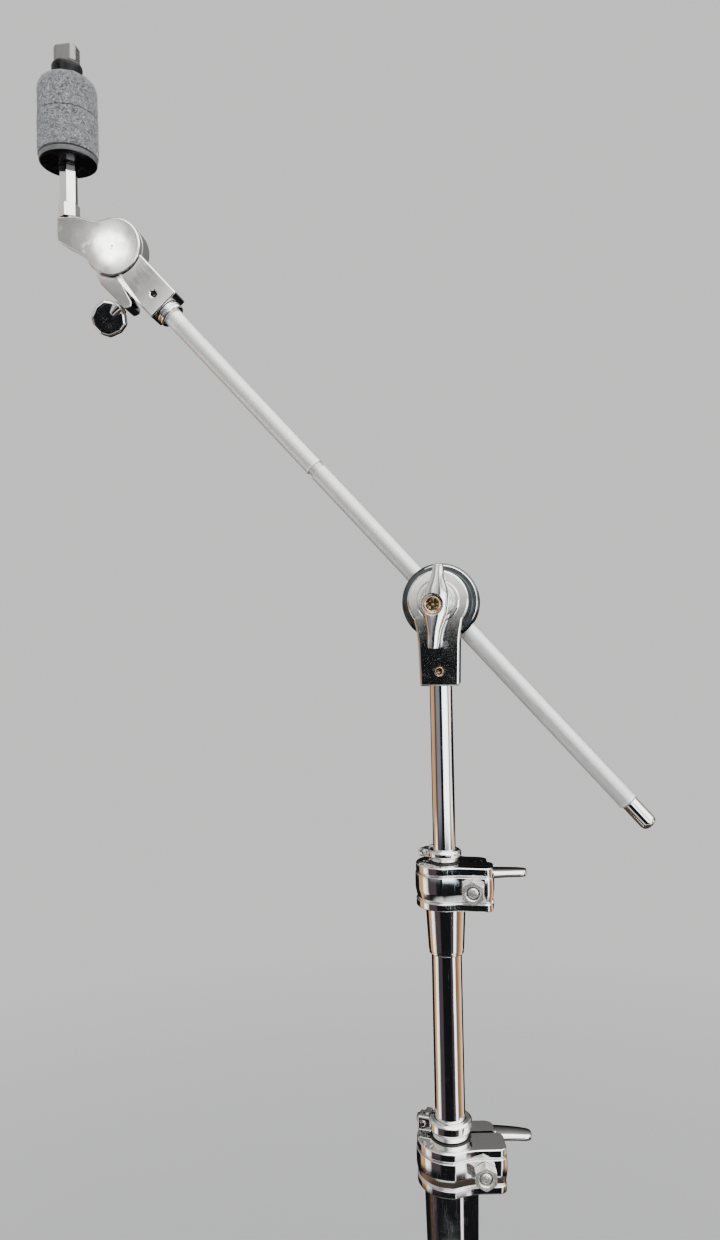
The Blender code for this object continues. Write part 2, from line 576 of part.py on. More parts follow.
def tilter_body(boom):
    """Split casting: a disc behind the arm, a socket block and a clamping ear."""
    x_right = 13.2 * MM
    low = 280 * MM
    high = 322 * MM
    body = box("tilter_body", (-11 * MM, -9.5 * MM, low), (x_right, 9.5 * MM, high), CHROME, boom)
    soften(body, 1.2 * MM)
    ear = plate("tilter_ear", [
        (-9 * MM, 318 * MM), (-13.6 * MM, 299 * MM), (-16.5 * MM, 297 * MM),
        (-20.5 * MM, 299 * MM), (-21 * MM, 326 * MM), (-16 * MM, 339 * MM), (-4 * MM, 332 * MM),
    ], 16 * MM, None, boom, ORIGIN, TOWARDS_FRONT)
    join(body, soften(ear, 1 * MM))
    ring = turned("tilter_disc", [
        (0.0, 5.3 * MM), (TILTER_DISC_RADIUS, 5.3 * MM), (TILTER_DISC_RADIUS, -7.5 * MM),
        (TILTER_DISC_RADIUS - 1.5 * MM, -9 * MM), (0.0, -9 * MM),
    ], None, boom, (TILTER_SIDE, 0.0, TILTER_ALONG), TOWARDS_FRONT, LARGE_ROUND)
    join(body, ring)
    room = TILTER_DISC_RADIUS + 0.8 * MM
    cut(body, prism("tilter_arm_room", room, 5.0 * MM, 20 * MM, None, boom,
                    (TILTER_SIDE, 0.0, TILTER_ALONG), TOWARDS_FRONT, LARGE_ROUND))
    cut(body, prism("tilter_pivot_hole", 4.3 * MM, -20 * MM, 20 * MM, None, boom,
                    (TILTER_SIDE, 0.0, TILTER_ALONG), TOWARDS_FRONT, SMALL_ROUND))
    cut(body, prism("tilter_socket", BOOM_RADIUS + GAP, low - 10 * MM, BOOM_TOP + 1.3 * MM, None, boom))
    slit = plate("tilter_slit", [
        (-9.6 * MM, 290 * MM), (-13.4 * MM, 290 * MM), (-11.2 * MM, 301 * MM),
        (-6.5 * MM, 322 * MM), (-2.9 * MM, 337 * MM), (-0.6 * MM, 337 * MM), (-4.8 * MM, 316 * MM),
    ], 50 * MM, None, boom, ORIGIN, TOWARDS_FRONT)
    cut(body, slit)
    cut(body, prism("tilter_bolt_hole", 3.3 * MM, -2 * MM, 40 * MM, None, boom,
                    (0.0, 0.0, 307 * MM), TOWARDS_LEFT, TINY_ROUND))
    cut(body, prism("tilter_pin_hole", 2.35 * MM, -20 * MM, 20 * MM, None, boom,
                    ROLL_PIN, TOWARDS_FRONT, TINY_ROUND))
    tube("tilter_roll_pin", 2.0 * MM, 1.2 * MM, -8.5 * MM, 8.3 * MM, BLACK_NYLON, boom,
         ROLL_PIN, TOWARDS_FRONT, TINY_ROUND)
    bottom = low - 6.5 * MM
    top = low - GAP
    turned("boom_socket_collar", [
        (8.4 * MM, top), (9.2 * MM, top - 0.8 * MM), (9.2 * MM, bottom + 0.8 * MM),
        (8.4 * MM, bottom), (BOOM_RADIUS + GAP, bottom), (BOOM_RADIUS + GAP, top),
    ], CHROME, boom, hollow=True)


def tilter_wing(axis):
    """Thumb screw that closes the tilter's slit: a six-sided paddle, square to the boom."""
    screw = turned("tilter_wing_bolt", [
        (0.0, 9 * MM), (3.6 * MM, 9 * MM), (5.0 * MM, 4 * MM), (5.4 * MM, 1 * MM), (4.6 * MM, 0.0),
        (3.0 * MM, 0.0), (3.0 * MM, -17.2 * MM), (2.2 * MM, -18 * MM), (0.0, -18 * MM),
    ], CHROME, axis, ORIGIN, LEVEL, SMALL_ROUND)
    paddle = plate("tilter_wing_paddle", [
        (-6 * MM, 1.5 * MM), (6 * MM, 1.5 * MM), (11.4 * MM, 6 * MM), (12.4 * MM, 13 * MM),
        (9.4 * MM, 21 * MM), (4 * MM, 24 * MM), (-4 * MM, 24 * MM), (-9.4 * MM, 21 * MM),
        (-12.4 * MM, 13 * MM), (-11.4 * MM, 6 * MM),
    ], 6.4 * MM, None, axis, ORIGIN, (math.radians(90), 0.0, math.radians(-15)))
    join(screw, soften(paddle, 1.6 * MM))


def tilter_arm(arm):
    """Front disc with an arm that carries the cymbal rod, and its pivot bolt."""
    boss_left = ROD_OFFSET - 6.7 * MM
    boss_right = ROD_OFFSET + 7.5 * MM
    outline = arc(TILTER_DISC_RADIUS, 197, 471, 22)
    outline += [
        (-13.5 * MM, 19.4 * MM), (boss_right, ARM_TOP - 0.8 * MM), (boss_left + 1.2 * MM, ARM_TOP),
        (boss_left, ARM_TOP - 1.5 * MM), (boss_left, 9 * MM), (boss_left + 2.6 * MM, 6.2 * MM),
    ]
    thickness = ARM_DISC_BACK - ARM_FRONT
    body = plate("tilter_arm", outline, thickness, CHROME, arm,
                 (0.0, (ARM_FRONT + ARM_DISC_BACK) / 2, 0.0), TOWARDS_FRONT)
    soften(body, 1.3 * MM, 1)
    step = 0.5 * MM
    boss = plate("tilter_arm_boss", [
        (boss_left + step, 9.5 * MM), (boss_left + 3.2 * MM, 6.8 * MM), (-30 * MM, 3 * MM),
        (boss_right, 8 * MM), (boss_right, ARM_TOP - 0.8 * MM - step),
        (boss_left + 1.5 * MM, ARM_TOP - step), (boss_left + step, ARM_TOP - 1.8 * MM),
    ], 15 * MM, None, arm, (0.0, ARM_FRONT + 8.5 * MM, 0.0), TOWARDS_FRONT)
    join(body, soften(boss, 1.0 * MM))
    cut(body, prism("tilter_arm_stud_hole", 4.0 * MM, 9 * MM, ARM_TOP + 5 * MM, None, arm,
                    (ROD_OFFSET, ROD_DEPTH, 0.0), LEVEL, SMALL_ROUND))
    cut(body, prism("tilter_arm_pivot_hole", 4.3 * MM, -20 * MM, 8.5 * MM, None, arm, ORIGIN,
                    TOWARDS_FRONT, SMALL_ROUND))
    turned("tilter_pivot_bolt", [
        (0.0, 8.0 * MM), (4.0 * MM, 8.0 * MM), (4.0 * MM, -9.3 * MM), (8.0 * MM, -9.3 * MM),
        (8.0 * MM, -12.0 * MM), (7.0 * MM, -13.0 * MM), (0.0, -13.0 * MM),
    ], STEEL, arm, ORIGIN, TOWARDS_FRONT, SMALL_ROUND)


def cymbal_seat(arm):
    """Rod, lock nut and cup, standing on the arm's boss. Heights are above the boss."""
    seat = (ROD_OFFSET, ROD_DEPTH, ARM_TOP)
    stud = 3.7 * MM
    nut_top = 9.8 * MM
    cup = 38.5 * MM
    flat_radius = 11 * MM / math.sqrt(3)
    rod = prism("cymbal_rod", stud, -14 * MM, 113 * MM, CHROME, arm, seat, LEVEL, SMALL_ROUND)
    hexagon = soften(prism("cymbal_rod_hexagon", flat_radius, nut_top + GAP, cup - GAP, None, arm,
                           seat, (0.0, 0.0, math.radians(12)), 6), 0.5 * MM, 1)
    join(rod, hexagon)
    hex_nut("rod_lock_nut", 13 * MM, nut_top - GAP, stud + GAP, arm,
            (seat[0], seat[1], seat[2] + GAP), LEVEL)
    bore = stud + GAP
    turned("cup_washer", [
        (5.6 * MM, cup + 57 * MM), (5.9 * MM, cup + 56.5 * MM), (5.9 * MM, cup + 5 * MM),
        (19.0 * MM, cup + 5 * MM), (20.0 * MM, cup + 4 * MM), (19.6 * MM, cup + 1.8 * MM),
        (16.0 * MM, cup), (bore, cup), (bore, cup + 57 * MM),
    ], BLACK_GLOSS, arm, seat, LEVEL, ROUND, hollow=True)
    return cup


def felt(name, low, top_shoulder, arm):
    """A felt washer: a ring with full, soft shoulders."""
    high = low + FELT_HEIGHT
    edge = 1.0 * MM
    near = top_shoulder * 0.13
    half = top_shoulder * 0.5
    profile = [
        (FELT_RADIUS - top_shoulder, high), (FELT_RADIUS - half, high - near),
        (FELT_RADIUS - near, high - half), (FELT_RADIUS, high - top_shoulder),
        (FELT_RADIUS, low + edge), (FELT_RADIUS - edge, low), (6.4 * MM, low), (6.4 * MM, high),
    ]
    turned(name, profile, FELT, arm, (ROD_OFFSET, ROD_DEPTH, ARM_TOP), LEVEL, ROUND, hollow=True)


def cymbal_nut(arm, low):
    """Quick-release nut: a round black flange under an oblong grey sleeve."""
    seat = (ROD_OFFSET, ROD_DEPTH, ARM_TOP)
    bore = 4.1 * MM
    joint = low + 11.5 * MM
    turned("cymbal_nut", [
        (8.6 * MM, joint), (10.2 * MM, joint - 1.0 * MM), (10.8 * MM, joint - 2.4 * MM),
        (10.6 * MM, joint - 5.0 * MM), (9.6 * MM, low + 3 * MM), (9.3 * MM, low), (bore, low),
        (bore, joint),
    ], BLACK_GLOSS, arm, seat, LEVEL, ROUND, hollow=True)
    half_wide = 8.3 * MM
    half_deep = 6.2 * MM
    chamfer = 2.6 * MM
    corners = []
    for x_sign, y_sign in ((1, -1), (1, 1), (-1, 1), (-1, -1)):
        near = (x_sign * half_wide, y_sign * (half_deep - chamfer))
        far = (x_sign * (half_wide - chamfer), y_sign * half_deep)
        corners += [near, far] if x_sign * y_sign > 0 else [far, near]
    sleeve = plate("nut_release_sleeve", corners, 12 * MM, NUT_GREY, arm,
                   (seat[0], seat[1], seat[2] + joint + GAP + 6 * MM), LEVEL)
    soften(sleeve, 0.8 * MM)
    cut(sleeve, prism("nut_release_sleeve_bore", bore, joint - 2 * MM, joint + 7 * MM, None, arm,
                      seat, LEVEL, SMALL_ROUND))


# ---------------------------------------------------------------- tripod

def banded_ring(name, radius, low, high, parent):
    """A ring that slides over the base tube, with chamfered rims."""
    bore = BASE_TUBE_RADIUS + GAP
    chamfer = 1 * MM
    return turned(name, [
        (radius - chamfer, high), (radius, high - chamfer), (radius, low + chamfer),
        (radius - chamfer, low), (bore, low), (bore, high),
    ], CHROME, parent, hollow=True)


def leg_collar(collar):
    """Sliding collar with three lugs for the legs and a boss for its wing bolt."""
    ring = banded_ring("leg_collar", 17.5 * MM, -15 * MM, 15 * MM, collar)
    for azimuth in LEG_AZIMUTHS:
        turn = (0.0, 0.0, math.radians(azimuth))
        lug = box("leg_collar_lug_%d" % azimuth, (15 * MM, -3.8 * MM, -6 * MM),
                  (PIVOT_RADIUS + 6 * MM, 3.8 * MM, 6 * MM), None, collar, ORIGIN, turn)
        join(ring, soften(lug, 1.5 * MM, 1))
        axis = frame("leg_collar_lug_axis_%d" % azimuth, ORIGIN, turn, collar)
        cut(ring, prism("leg_collar_pin_hole_%d" % azimuth, 2.9 * MM, -12 * MM, 12 * MM, None, axis,
                        (PIVOT_RADIUS, 0.0, 0.0), TOWARDS_FRONT, TINY_ROUND))
    boss = prism("leg_collar_boss", 7 * MM, 15 * MM, 24 * MM, None, collar, ORIGIN, TOWARDS_RIGHT)
    join(ring, boss)
    cut(ring, prism("leg_collar_bolt_hole", 3.4 * MM, 5 * MM, 30 * MM, None, collar, ORIGIN,
                    TOWARDS_RIGHT, SMALL_ROUND))
    axis = frame("leg_collar_wing_axis", (24 * MM + GAP, 0.0, 0.0), TOWARDS_RIGHT, collar)
    wing_bolt("leg_collar_wing_bolt", 3.0 * MM, 10.8 * MM, 6.6 * MM, 10 * MM, 26 * MM, 18 * MM,
              5.2 * MM, axis, ORIGIN, (0.0, 0.0, math.radians(90)))


def bottom_hub():
    """Fixed hub at the foot of the pole with three forks for the braces."""
    hub = banded_ring("bottom_hub", 16.5 * MM, 9 * MM, 37 * MM, None)
    for azimuth in LEG_AZIMUTHS:
        turn = (0.0, 0.0, math.radians(azimuth))
        lug = box("bottom_hub_fork_%d" % azimuth, (14 * MM, -5.0 * MM, HUB_PIVOT_HEIGHT - 6 * MM),
                  (PIVOT_RADIUS + 6 * MM, 5.0 * MM, HUB_PIVOT_HEIGHT + 6 * MM), None, None, ORIGIN, turn)
        join(hub, soften(lug, 1.5 * MM, 1))
        cut(hub, box("bottom_hub_slot_%d" % azimuth, (17 * MM, -2.0 * MM, 0.0),
                     (PIVOT_RADIUS + 15 * MM, 2.0 * MM, 50 * MM), None, None, ORIGIN, turn))
        axis = frame("bottom_hub_fork_axis_%d" % azimuth, ORIGIN, turn)
        cut(hub, prism("bottom_hub_pin_hole_%d" % azimuth, 2.9 * MM, -12 * MM, 12 * MM, None, axis,
                       (PIVOT_RADIUS, 0.0, HUB_PIVOT_HEIGHT), TOWARDS_FRONT, TINY_ROUND))
    turned("end_plug", [
        (0.0, 26 * MM), (10.8 * MM, 26 * MM), (10.8 * MM, BASE_TUBE_BOTTOM - GAP),
        (14.5 * MM, BASE_TUBE_BOTTOM - GAP), (14.5 * MM, 1 * MM), (13.5 * MM, 0.0), (0.0, 0.0),
    ], RUBBER)


def strip_outline(length, half_width):
    """A strip along -Y with round ends, the first end centred on the origin."""
    return (arc(half_width, 0, 180, 8)
            + arc(half_width, 180, 360, 8, (0.0, -length)))


def leg(index, azimuth, collar):
    """A double-strip leg with its rubber foot and its pivot pin."""
    name = "leg_%d" % index
    heading = frame(name + "_heading", ORIGIN, (0.0, 0.0, math.radians(azimuth)), collar)
    pivot = (PIVOT_RADIUS, 0.0, 0.0)
    lean = frame(name + "_axis", pivot, (0.0, -LEG_ANGLE, 0.0), heading)
    half_width = 7 * MM
    body = plate(name, strip_outline(LEG_LENGTH - LEG_TIP, half_width), 12.4 * MM, CHROME, lean,
                 ORIGIN, TOWARDS_FRONT)
    soften(body, 0.6 * MM, 1)
    room = 4.2 * MM
    cut(body, box(name + "_channel", (-20 * MM, -room, -LEG_LENGTH + 34 * MM),
                  (20 * MM, room, 20 * MM), None, lean))
    cut(body, prism(name + "_pin_hole", 2.9 * MM, -12 * MM, 12 * MM, None, lean, ORIGIN,
                    TOWARDS_FRONT, TINY_ROUND))
    turned(name + "_pin", [
        (0.0, 8.0 * MM), (3.2 * MM, 8.0 * MM), (4.2 * MM, 7.2 * MM), (4.2 * MM, 6.5 * MM),
        (2.6 * MM, 6.5 * MM), (2.6 * MM, -6.1 * MM), (0.0, -6.1 * MM),
    ], STEEL, lean, ORIGIN, TOWARDS_FRONT, TINY_ROUND)

    reach = PIVOT_RADIUS + LEG_LENGTH * math.sin(LEG_ANGLE)
    floor = -COLLAR_PIVOT_HEIGHT
    ground = frame(name + "_ground", (reach, 0.0, floor), LEVEL, heading)
    foot = loft("foot_%d" % index, [
        foot_ring(-17 * MM, 15 * MM, 12.5 * MM, 0.0), foot_ring(-19 * MM, 16 * MM, 13.5 * MM, 2 * MM),
        foot_ring(-34 * MM, 4 * MM, 12.5 * MM, 13 * MM), foot_ring(-50 * MM, -17 * MM, 11 * MM, 26 * MM),
    ], RUBBER, ground)
    pocket = plate(name + "_pocket", strip_outline(LEG_LENGTH - LEG_TIP, half_width + GAP),
                   13.0 * MM, None, lean, ORIGIN, TOWARDS_FRONT)
    cut(foot, pocket)


def foot_ring(near, far, half_width, height):
    """One level of a rubber foot: a rectangle with cut corners."""
    corner = 4 * MM
    return [
        (far - corner, -half_width, height), (far, -half_width + corner, height),
        (far, half_width - corner, height), (far - corner, half_width, height),
        (near + corner, half_width, height), (near, half_width - corner, height),
        (near, -half_width + corner, height), (near + corner, -half_width, height),
    ]


def brace(index, azimuth):
    """A brace from the bottom hub to the leg, with its hub pin and its end stud."""
    name = "brace_%d" % index
    heading = frame(name + "_heading", ORIGIN, (0.0, 0.0, math.radians(azimuth)))
    pivot = (PIVOT_RADIUS, 0.0, HUB_PIVOT_HEIGHT)
    lean = frame(name + "_axis", pivot, (0.0, LEG_ANGLE + math.radians(180), 0.0), heading)
    body = plate(name, strip_outline(BRACE_LENGTH, 5.5 * MM), 3.2 * MM, CHROME, lean, ORIGIN,
                 TOWARDS_FRONT)
    soften(body, 0.5 * MM, 1)
    join(body, prism(name + "_stud", 3.4 * MM, -3.9 * MM, 3.9 * MM, None, lean,
                     (0.0, 0.0, -BRACE_LENGTH), TOWARDS_FRONT, TINY_ROUND))
    cut(body, prism(name + "_pin_hole", 2.9 * MM, -12 * MM, 12 * MM, None, lean, ORIGIN,
                    TOWARDS_FRONT, TINY_ROUND))
    turned(name + "_pin", [
        (0.0, 6.9 * MM), (3.2 * MM, 6.9 * MM), (4.2 * MM, 6.1 * MM), (4.2 * MM, 5.3 * MM),
        (2.6 * MM, 5.3 * MM), (2.6 * MM, -4.9 * MM), (0.0, -4.9 * MM),
    ], STEEL, lean, ORIGIN, TOWARDS_FRONT, TINY_ROUND)


# ---------------------------------------------------------------- assembly

def build_stand():
    base_tube()
    lower_section()
    middle_section()
    upper_section()
    boom_bracket()

    boom = frame("boom_frame", (0.0, BOOM_PLANE, DRUM_HEIGHT), (0.0, -BOOM_LEAN, 0.0))
    boom_drum(boom)
    wing_seat = BRACKET_FRONT - 2 * MM - 2 * GAP
    boom_wing(frame("boom_wing_axis", (0.0, wing_seat, DRUM_HEIGHT)))
    boom_tube(boom)
    tilter_body(boom)
    tilter_wing(frame("tilter_wing_axis", (-21.4 * MM, 0.0, 307 * MM), TOWARDS_LEFT, boom))

    lean_sin = math.sin(BOOM_LEAN)
    lean_cos = math.cos(BOOM_LEAN)
    arm_place = (TILTER_SIDE * lean_cos - TILTER_ALONG * lean_sin, BOOM_PLANE,
                 DRUM_HEIGHT + TILTER_ALONG * lean_cos + TILTER_SIDE * lean_sin)
    arm = frame("tilter_arm_axis", arm_place)
    tilter_arm(arm)
    cup = cymbal_seat(arm)
    first_felt = cup + 5.3 * MM
    felt("lower_felt", first_felt, 1.0 * MM, arm)
    second_felt = first_felt + FELT_HEIGHT + GAP
    felt("upper_felt", second_felt, 8 * MM, arm)
    cymbal_nut(arm, second_felt + FELT_HEIGHT + GAP)

    bottom_hub()
    collar = frame("leg_collar_frame", (0.0, 0.0, COLLAR_PIVOT_HEIGHT))
    leg_collar(collar)
    for index, azimuth in enumerate(LEG_AZIMUTHS):
        leg(index + 1, azimuth, collar)
        brace(index + 1, azimuth)


clear_scene()
STAND = new_collection("boom_cymbal_stand")
TOOLS = new_collection("cutters")
build_stand()
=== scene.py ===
"""Looks of the boom cymbal stand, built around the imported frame.

+Z up, in the frame's own coordinates. Shapes are described in millimetres and become metres in
make() and shift(). Materials and the studio are in metres. Places and main sizes come from the
frame's joints and node boxes; the smaller details are given here.
"""
import json
import math
import random

import bmesh
import bpy
import numpy as np
from mathutils import Matrix, Vector, noise


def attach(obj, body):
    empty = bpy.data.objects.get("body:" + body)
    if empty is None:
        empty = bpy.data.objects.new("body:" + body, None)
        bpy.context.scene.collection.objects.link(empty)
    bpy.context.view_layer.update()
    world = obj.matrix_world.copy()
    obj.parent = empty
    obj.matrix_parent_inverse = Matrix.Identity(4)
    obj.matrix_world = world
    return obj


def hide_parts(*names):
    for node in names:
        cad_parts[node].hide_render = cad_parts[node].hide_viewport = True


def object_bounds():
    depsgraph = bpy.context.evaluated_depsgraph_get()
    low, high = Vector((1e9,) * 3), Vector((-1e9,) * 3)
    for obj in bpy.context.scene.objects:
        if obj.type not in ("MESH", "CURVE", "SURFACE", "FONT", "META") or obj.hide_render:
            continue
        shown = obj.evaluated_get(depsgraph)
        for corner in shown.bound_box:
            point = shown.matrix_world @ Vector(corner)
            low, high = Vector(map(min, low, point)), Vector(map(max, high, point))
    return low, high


MM = 0.001
GAP = 0.3
STILL = Matrix.Identity(4)
STEPS = 96
FINE_STEPS = 48

BASE_TUBE = 12.7
MIDDLE_TUBE = 9.525
UPPER_TUBE = 7.15
BOOM = 6.5
BOLT = 3.8
NUT_ACROSS = 13
TILTER_DISC = 20.3

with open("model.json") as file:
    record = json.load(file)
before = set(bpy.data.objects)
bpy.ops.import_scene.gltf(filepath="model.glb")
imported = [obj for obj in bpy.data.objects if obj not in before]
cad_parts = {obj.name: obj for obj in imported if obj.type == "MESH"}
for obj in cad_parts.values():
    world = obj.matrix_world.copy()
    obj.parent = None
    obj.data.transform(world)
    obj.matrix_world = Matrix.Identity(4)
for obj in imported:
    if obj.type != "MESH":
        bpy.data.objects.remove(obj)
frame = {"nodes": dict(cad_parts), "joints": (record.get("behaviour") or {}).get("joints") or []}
CAD_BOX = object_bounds()


# ---------------------------------------------------------------- places

def turn(axis, degrees):
    return Matrix.Rotation(math.radians(degrees), 4, axis)


def shift(x, y, z):
    return Matrix.Translation(Vector((x, y, z)) * MM)


TOWARDS_FRONT = turn("X", 90)
TOWARDS_BACK = turn("X", -90)
TOWARDS_RIGHT = turn("Y", 90)
TOWARDS_LEFT = turn("Y", -90)


def joint(name):
    return next(item for item in frame["joints"] if item["name"] == name)


def at_joint(name):
    return Matrix.Translation(joint(name)["pos_m"])


def height_of(name):
    return joint(name)["pos_m"][2] / MM


def extent(node, place=STILL):
    """Lowest and highest corner of a CAD node in the coordinates of a place."""
    back = place.inverted()
    corners = np.array([back @ vertex.co for vertex in frame["nodes"][node].data.vertices]) / MM
    return Vector(corners.min(0)), Vector(corners.max(0))


# ---------------------------------------------------------------- shapes

def make(name, corners, faces, place):
    mesh = bpy.data.meshes.new(name)
    mesh.from_pydata((np.array(corners) * MM).tolist(), [], faces)
    shape = bmesh.new()
    shape.from_mesh(mesh)
    bmesh.ops.recalc_face_normals(shape, faces=shape.faces)
    shape.to_mesh(mesh)
    shape.free()
    piece = bpy.data.objects.new(name, mesh)
    bpy.context.scene.collection.objects.link(piece)
    piece.matrix_world = place
    return piece


def rounded(points, radius, closed=False, count=4):
    """A polyline with its corners turned into small curves."""
    result = []
    total = len(points)
    for i, point in enumerate(points):
        here = Vector(point)
        if not closed and i in (0, total - 1):
            result.append(tuple(here))
            continue
        before = Vector(points[i - 1]) - here
        after = Vector(points[(i + 1) % total]) - here
        bend = math.pi - before.angle(after, math.pi)
        if bend < math.radians(18):
            result.append(tuple(here))
            continue
        reach = min(radius, 0.46 * before.length, 0.46 * after.length)
        first = here + before.normalized() * reach
        last = here + after.normalized() * reach
        for k in range(count + 1):
            t = k / count
            result.append(tuple(first * (1 - t) ** 2 + here * 2 * t * (1 - t) + last * t * t))
    return result


def turned(name, profile, place=STILL, steps=STEPS, hollow=False, soft=0.3):
    """A turned piece from a profile of (radius, height) with softened corners."""
    profile = rounded(profile, soft, hollow) if soft else profile
    corners = []
    rows = []
    for radius, height in profile:
        if radius < 1e-4:
            rows.append([len(corners)] * steps)
            corners.append((0.0, 0.0, height))
            continue
        rows.append(list(range(len(corners), len(corners) + steps)))
        for i in range(steps):
            angle = 2 * math.pi * i / steps
            corners.append((radius * math.cos(angle), radius * math.sin(angle), height))
    faces = []
    pairs = list(zip(rows, rows[1:]))
    if hollow:
        pairs.append((rows[-1], rows[0]))
    for first, second in pairs:
        for i in range(steps):
            j = (i + 1) % steps
            face = tuple(dict.fromkeys((first[i], second[i], second[j], first[j])))
            if len(face) > 2:
                faces.append(face)
    return make(name, corners, faces, place)


def rod(name, radius, low, high, place=STILL, steps=FINE_STEPS):
    profile = [(0.0, high), (radius, high), (radius, low), (0.0, low)]
    return turned(name, profile, place, steps, soft=0)


def loft(name, rings, place=STILL, smooth=0):
    """A closed skin over rings of equal count, optionally subdivided."""
    corners = [corner for ring in rings for corner in ring]
    count = len(rings[0])
    faces = [tuple(range(count)), tuple(range(len(corners) - count, len(corners)))]
    for row in range(len(rings) - 1):
        for i in range(count):
            j = (i + 1) % count
            faces.append((row * count + i, row * count + j,
                          (row + 1) * count + j, (row + 1) * count + i))
    piece = make(name, corners, faces, place)
    if smooth:
        soften = piece.modifiers.new("smooth", "SUBSURF")
        soften.levels = smooth
        soften.render_levels = smooth
        bake(piece)
    return piece


def box(name, low, high, place=STILL, edge=0.0, segments=3):
    (x0, y0, z0), (x1, y1, z1) = low, high
    rings = [[(x0, y0, z), (x1, y0, z), (x1, y1, z), (x0, y1, z)] for z in (z0, z1)]
    piece = loft(name, rings, place)
    return bevel(piece, edge, segments) if edge else piece


def plate(name, outline, low, high, place=STILL, edge=0.0, corner=0.0):
    """A flat outline in XY between two heights, with softened rims."""
    if corner:
        outline = rounded(outline, corner, closed=True)
    piece = loft(name, [[(x, y, z) for x, y in outline] for z in (low, high)], place)
    return bevel(piece, edge, 4) if edge else piece


def arc(radius, start, end, count, centre=(0.0, 0.0)):
    points = []
    for i in range(count + 1):
        angle = math.radians(start + (end - start) * i / count)
        points.append((centre[0] + radius * math.cos(angle), centre[1] + radius * math.sin(angle)))
    return points


def bevel(piece, width, segments=3, angle=40):
    change = piece.modifiers.new("edges", "BEVEL")
    change.width = width * MM
    change.segments = segments
    change.limit_method = "ANGLE"
    change.angle_limit = math.radians(angle)
    return bake(piece)


def bake(piece):
    """Replaces a piece's mesh by what its modifiers make of it."""
    graph = bpy.context.evaluated_depsgraph_get()
    mesh = bpy.data.meshes.new_from_object(piece.evaluated_get(graph))
    piece.modifiers.clear()
    piece.data = mesh
    return piece


def combine(piece, tool, operation):
    change = piece.modifiers.new(operation.lower(), "BOOLEAN")
    change.operation = operation
    change.object = tool
    bake(piece)
    bpy.data.objects.remove(tool, do_unlink=True)
    return piece


def cut(piece, tool):
    return combine(piece, tool, "DIFFERENCE")


def drill(piece, radius, low, high, place=STILL, steps=FINE_STEPS):
    return cut(piece, rod("drill", radius, low, high, place, steps))


def join(piece, tool):
    return combine(piece, tool, "UNION")


def settle(piece, body, nodes, material, sharp=35):
    """Gives a finished piece its shading, material, body and the CAD nodes it stands for."""
    weld = bmesh.new()
    weld.from_mesh(piece.data)
    bmesh.ops.remove_doubles(weld, verts=weld.verts, dist=0.004 * MM)
    weld.to_mesh(piece.data)
    weld.free()
    piece.data.shade_smooth()
    piece.data.set_sharp_from_angle(angle=math.radians(sharp))
    even = piece.modifiers.new("even_normals", "WEIGHTED_NORMAL")
    even.keep_sharp = True
    even.weight = 80
    piece.data.materials.clear()
    piece.data.materials.append(material)
    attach(piece, body)
    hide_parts(*nodes)
    return piece


# ---------------------------------------------------------------- material building

class Nodes:
    """Adds nodes to a tree. Values are numbers, colours or other nodes' outputs."""

    def __init__(self, tree):
        self.tree = tree

    def add(self, kind, values=None, **settings):
        node = self.tree.nodes.new(kind)
        for key, value in settings.items():
            setattr(node, key, value)
        for key, value in (values or {}).items():
            if isinstance(value, bpy.types.NodeSocket):
                self.tree.links.new(value, node.inputs[key])
            else:
                node.inputs[key].default_value = value
        return node

    def math(self, operation, *values, clamp=False):
        node = self.add("ShaderNodeMath", dict(enumerate(values)), operation=operation)
        node.use_clamp = clamp
        return node.outputs[0]

    def ramp(self, factor, *stops):
        node = self.add("ShaderNodeValToRGB", {"Fac": factor})
        band = node.color_ramp
        while len(band.elements) < len(stops):
            band.elements.new(0.5)
        for element, (position, colour) in zip(band.elements, stops):
            element.position = position
            element.color = ((*colour, 1.0) if isinstance(colour, tuple)
                             else (colour, colour, colour, 1.0))
        return node.outputs["Color"]


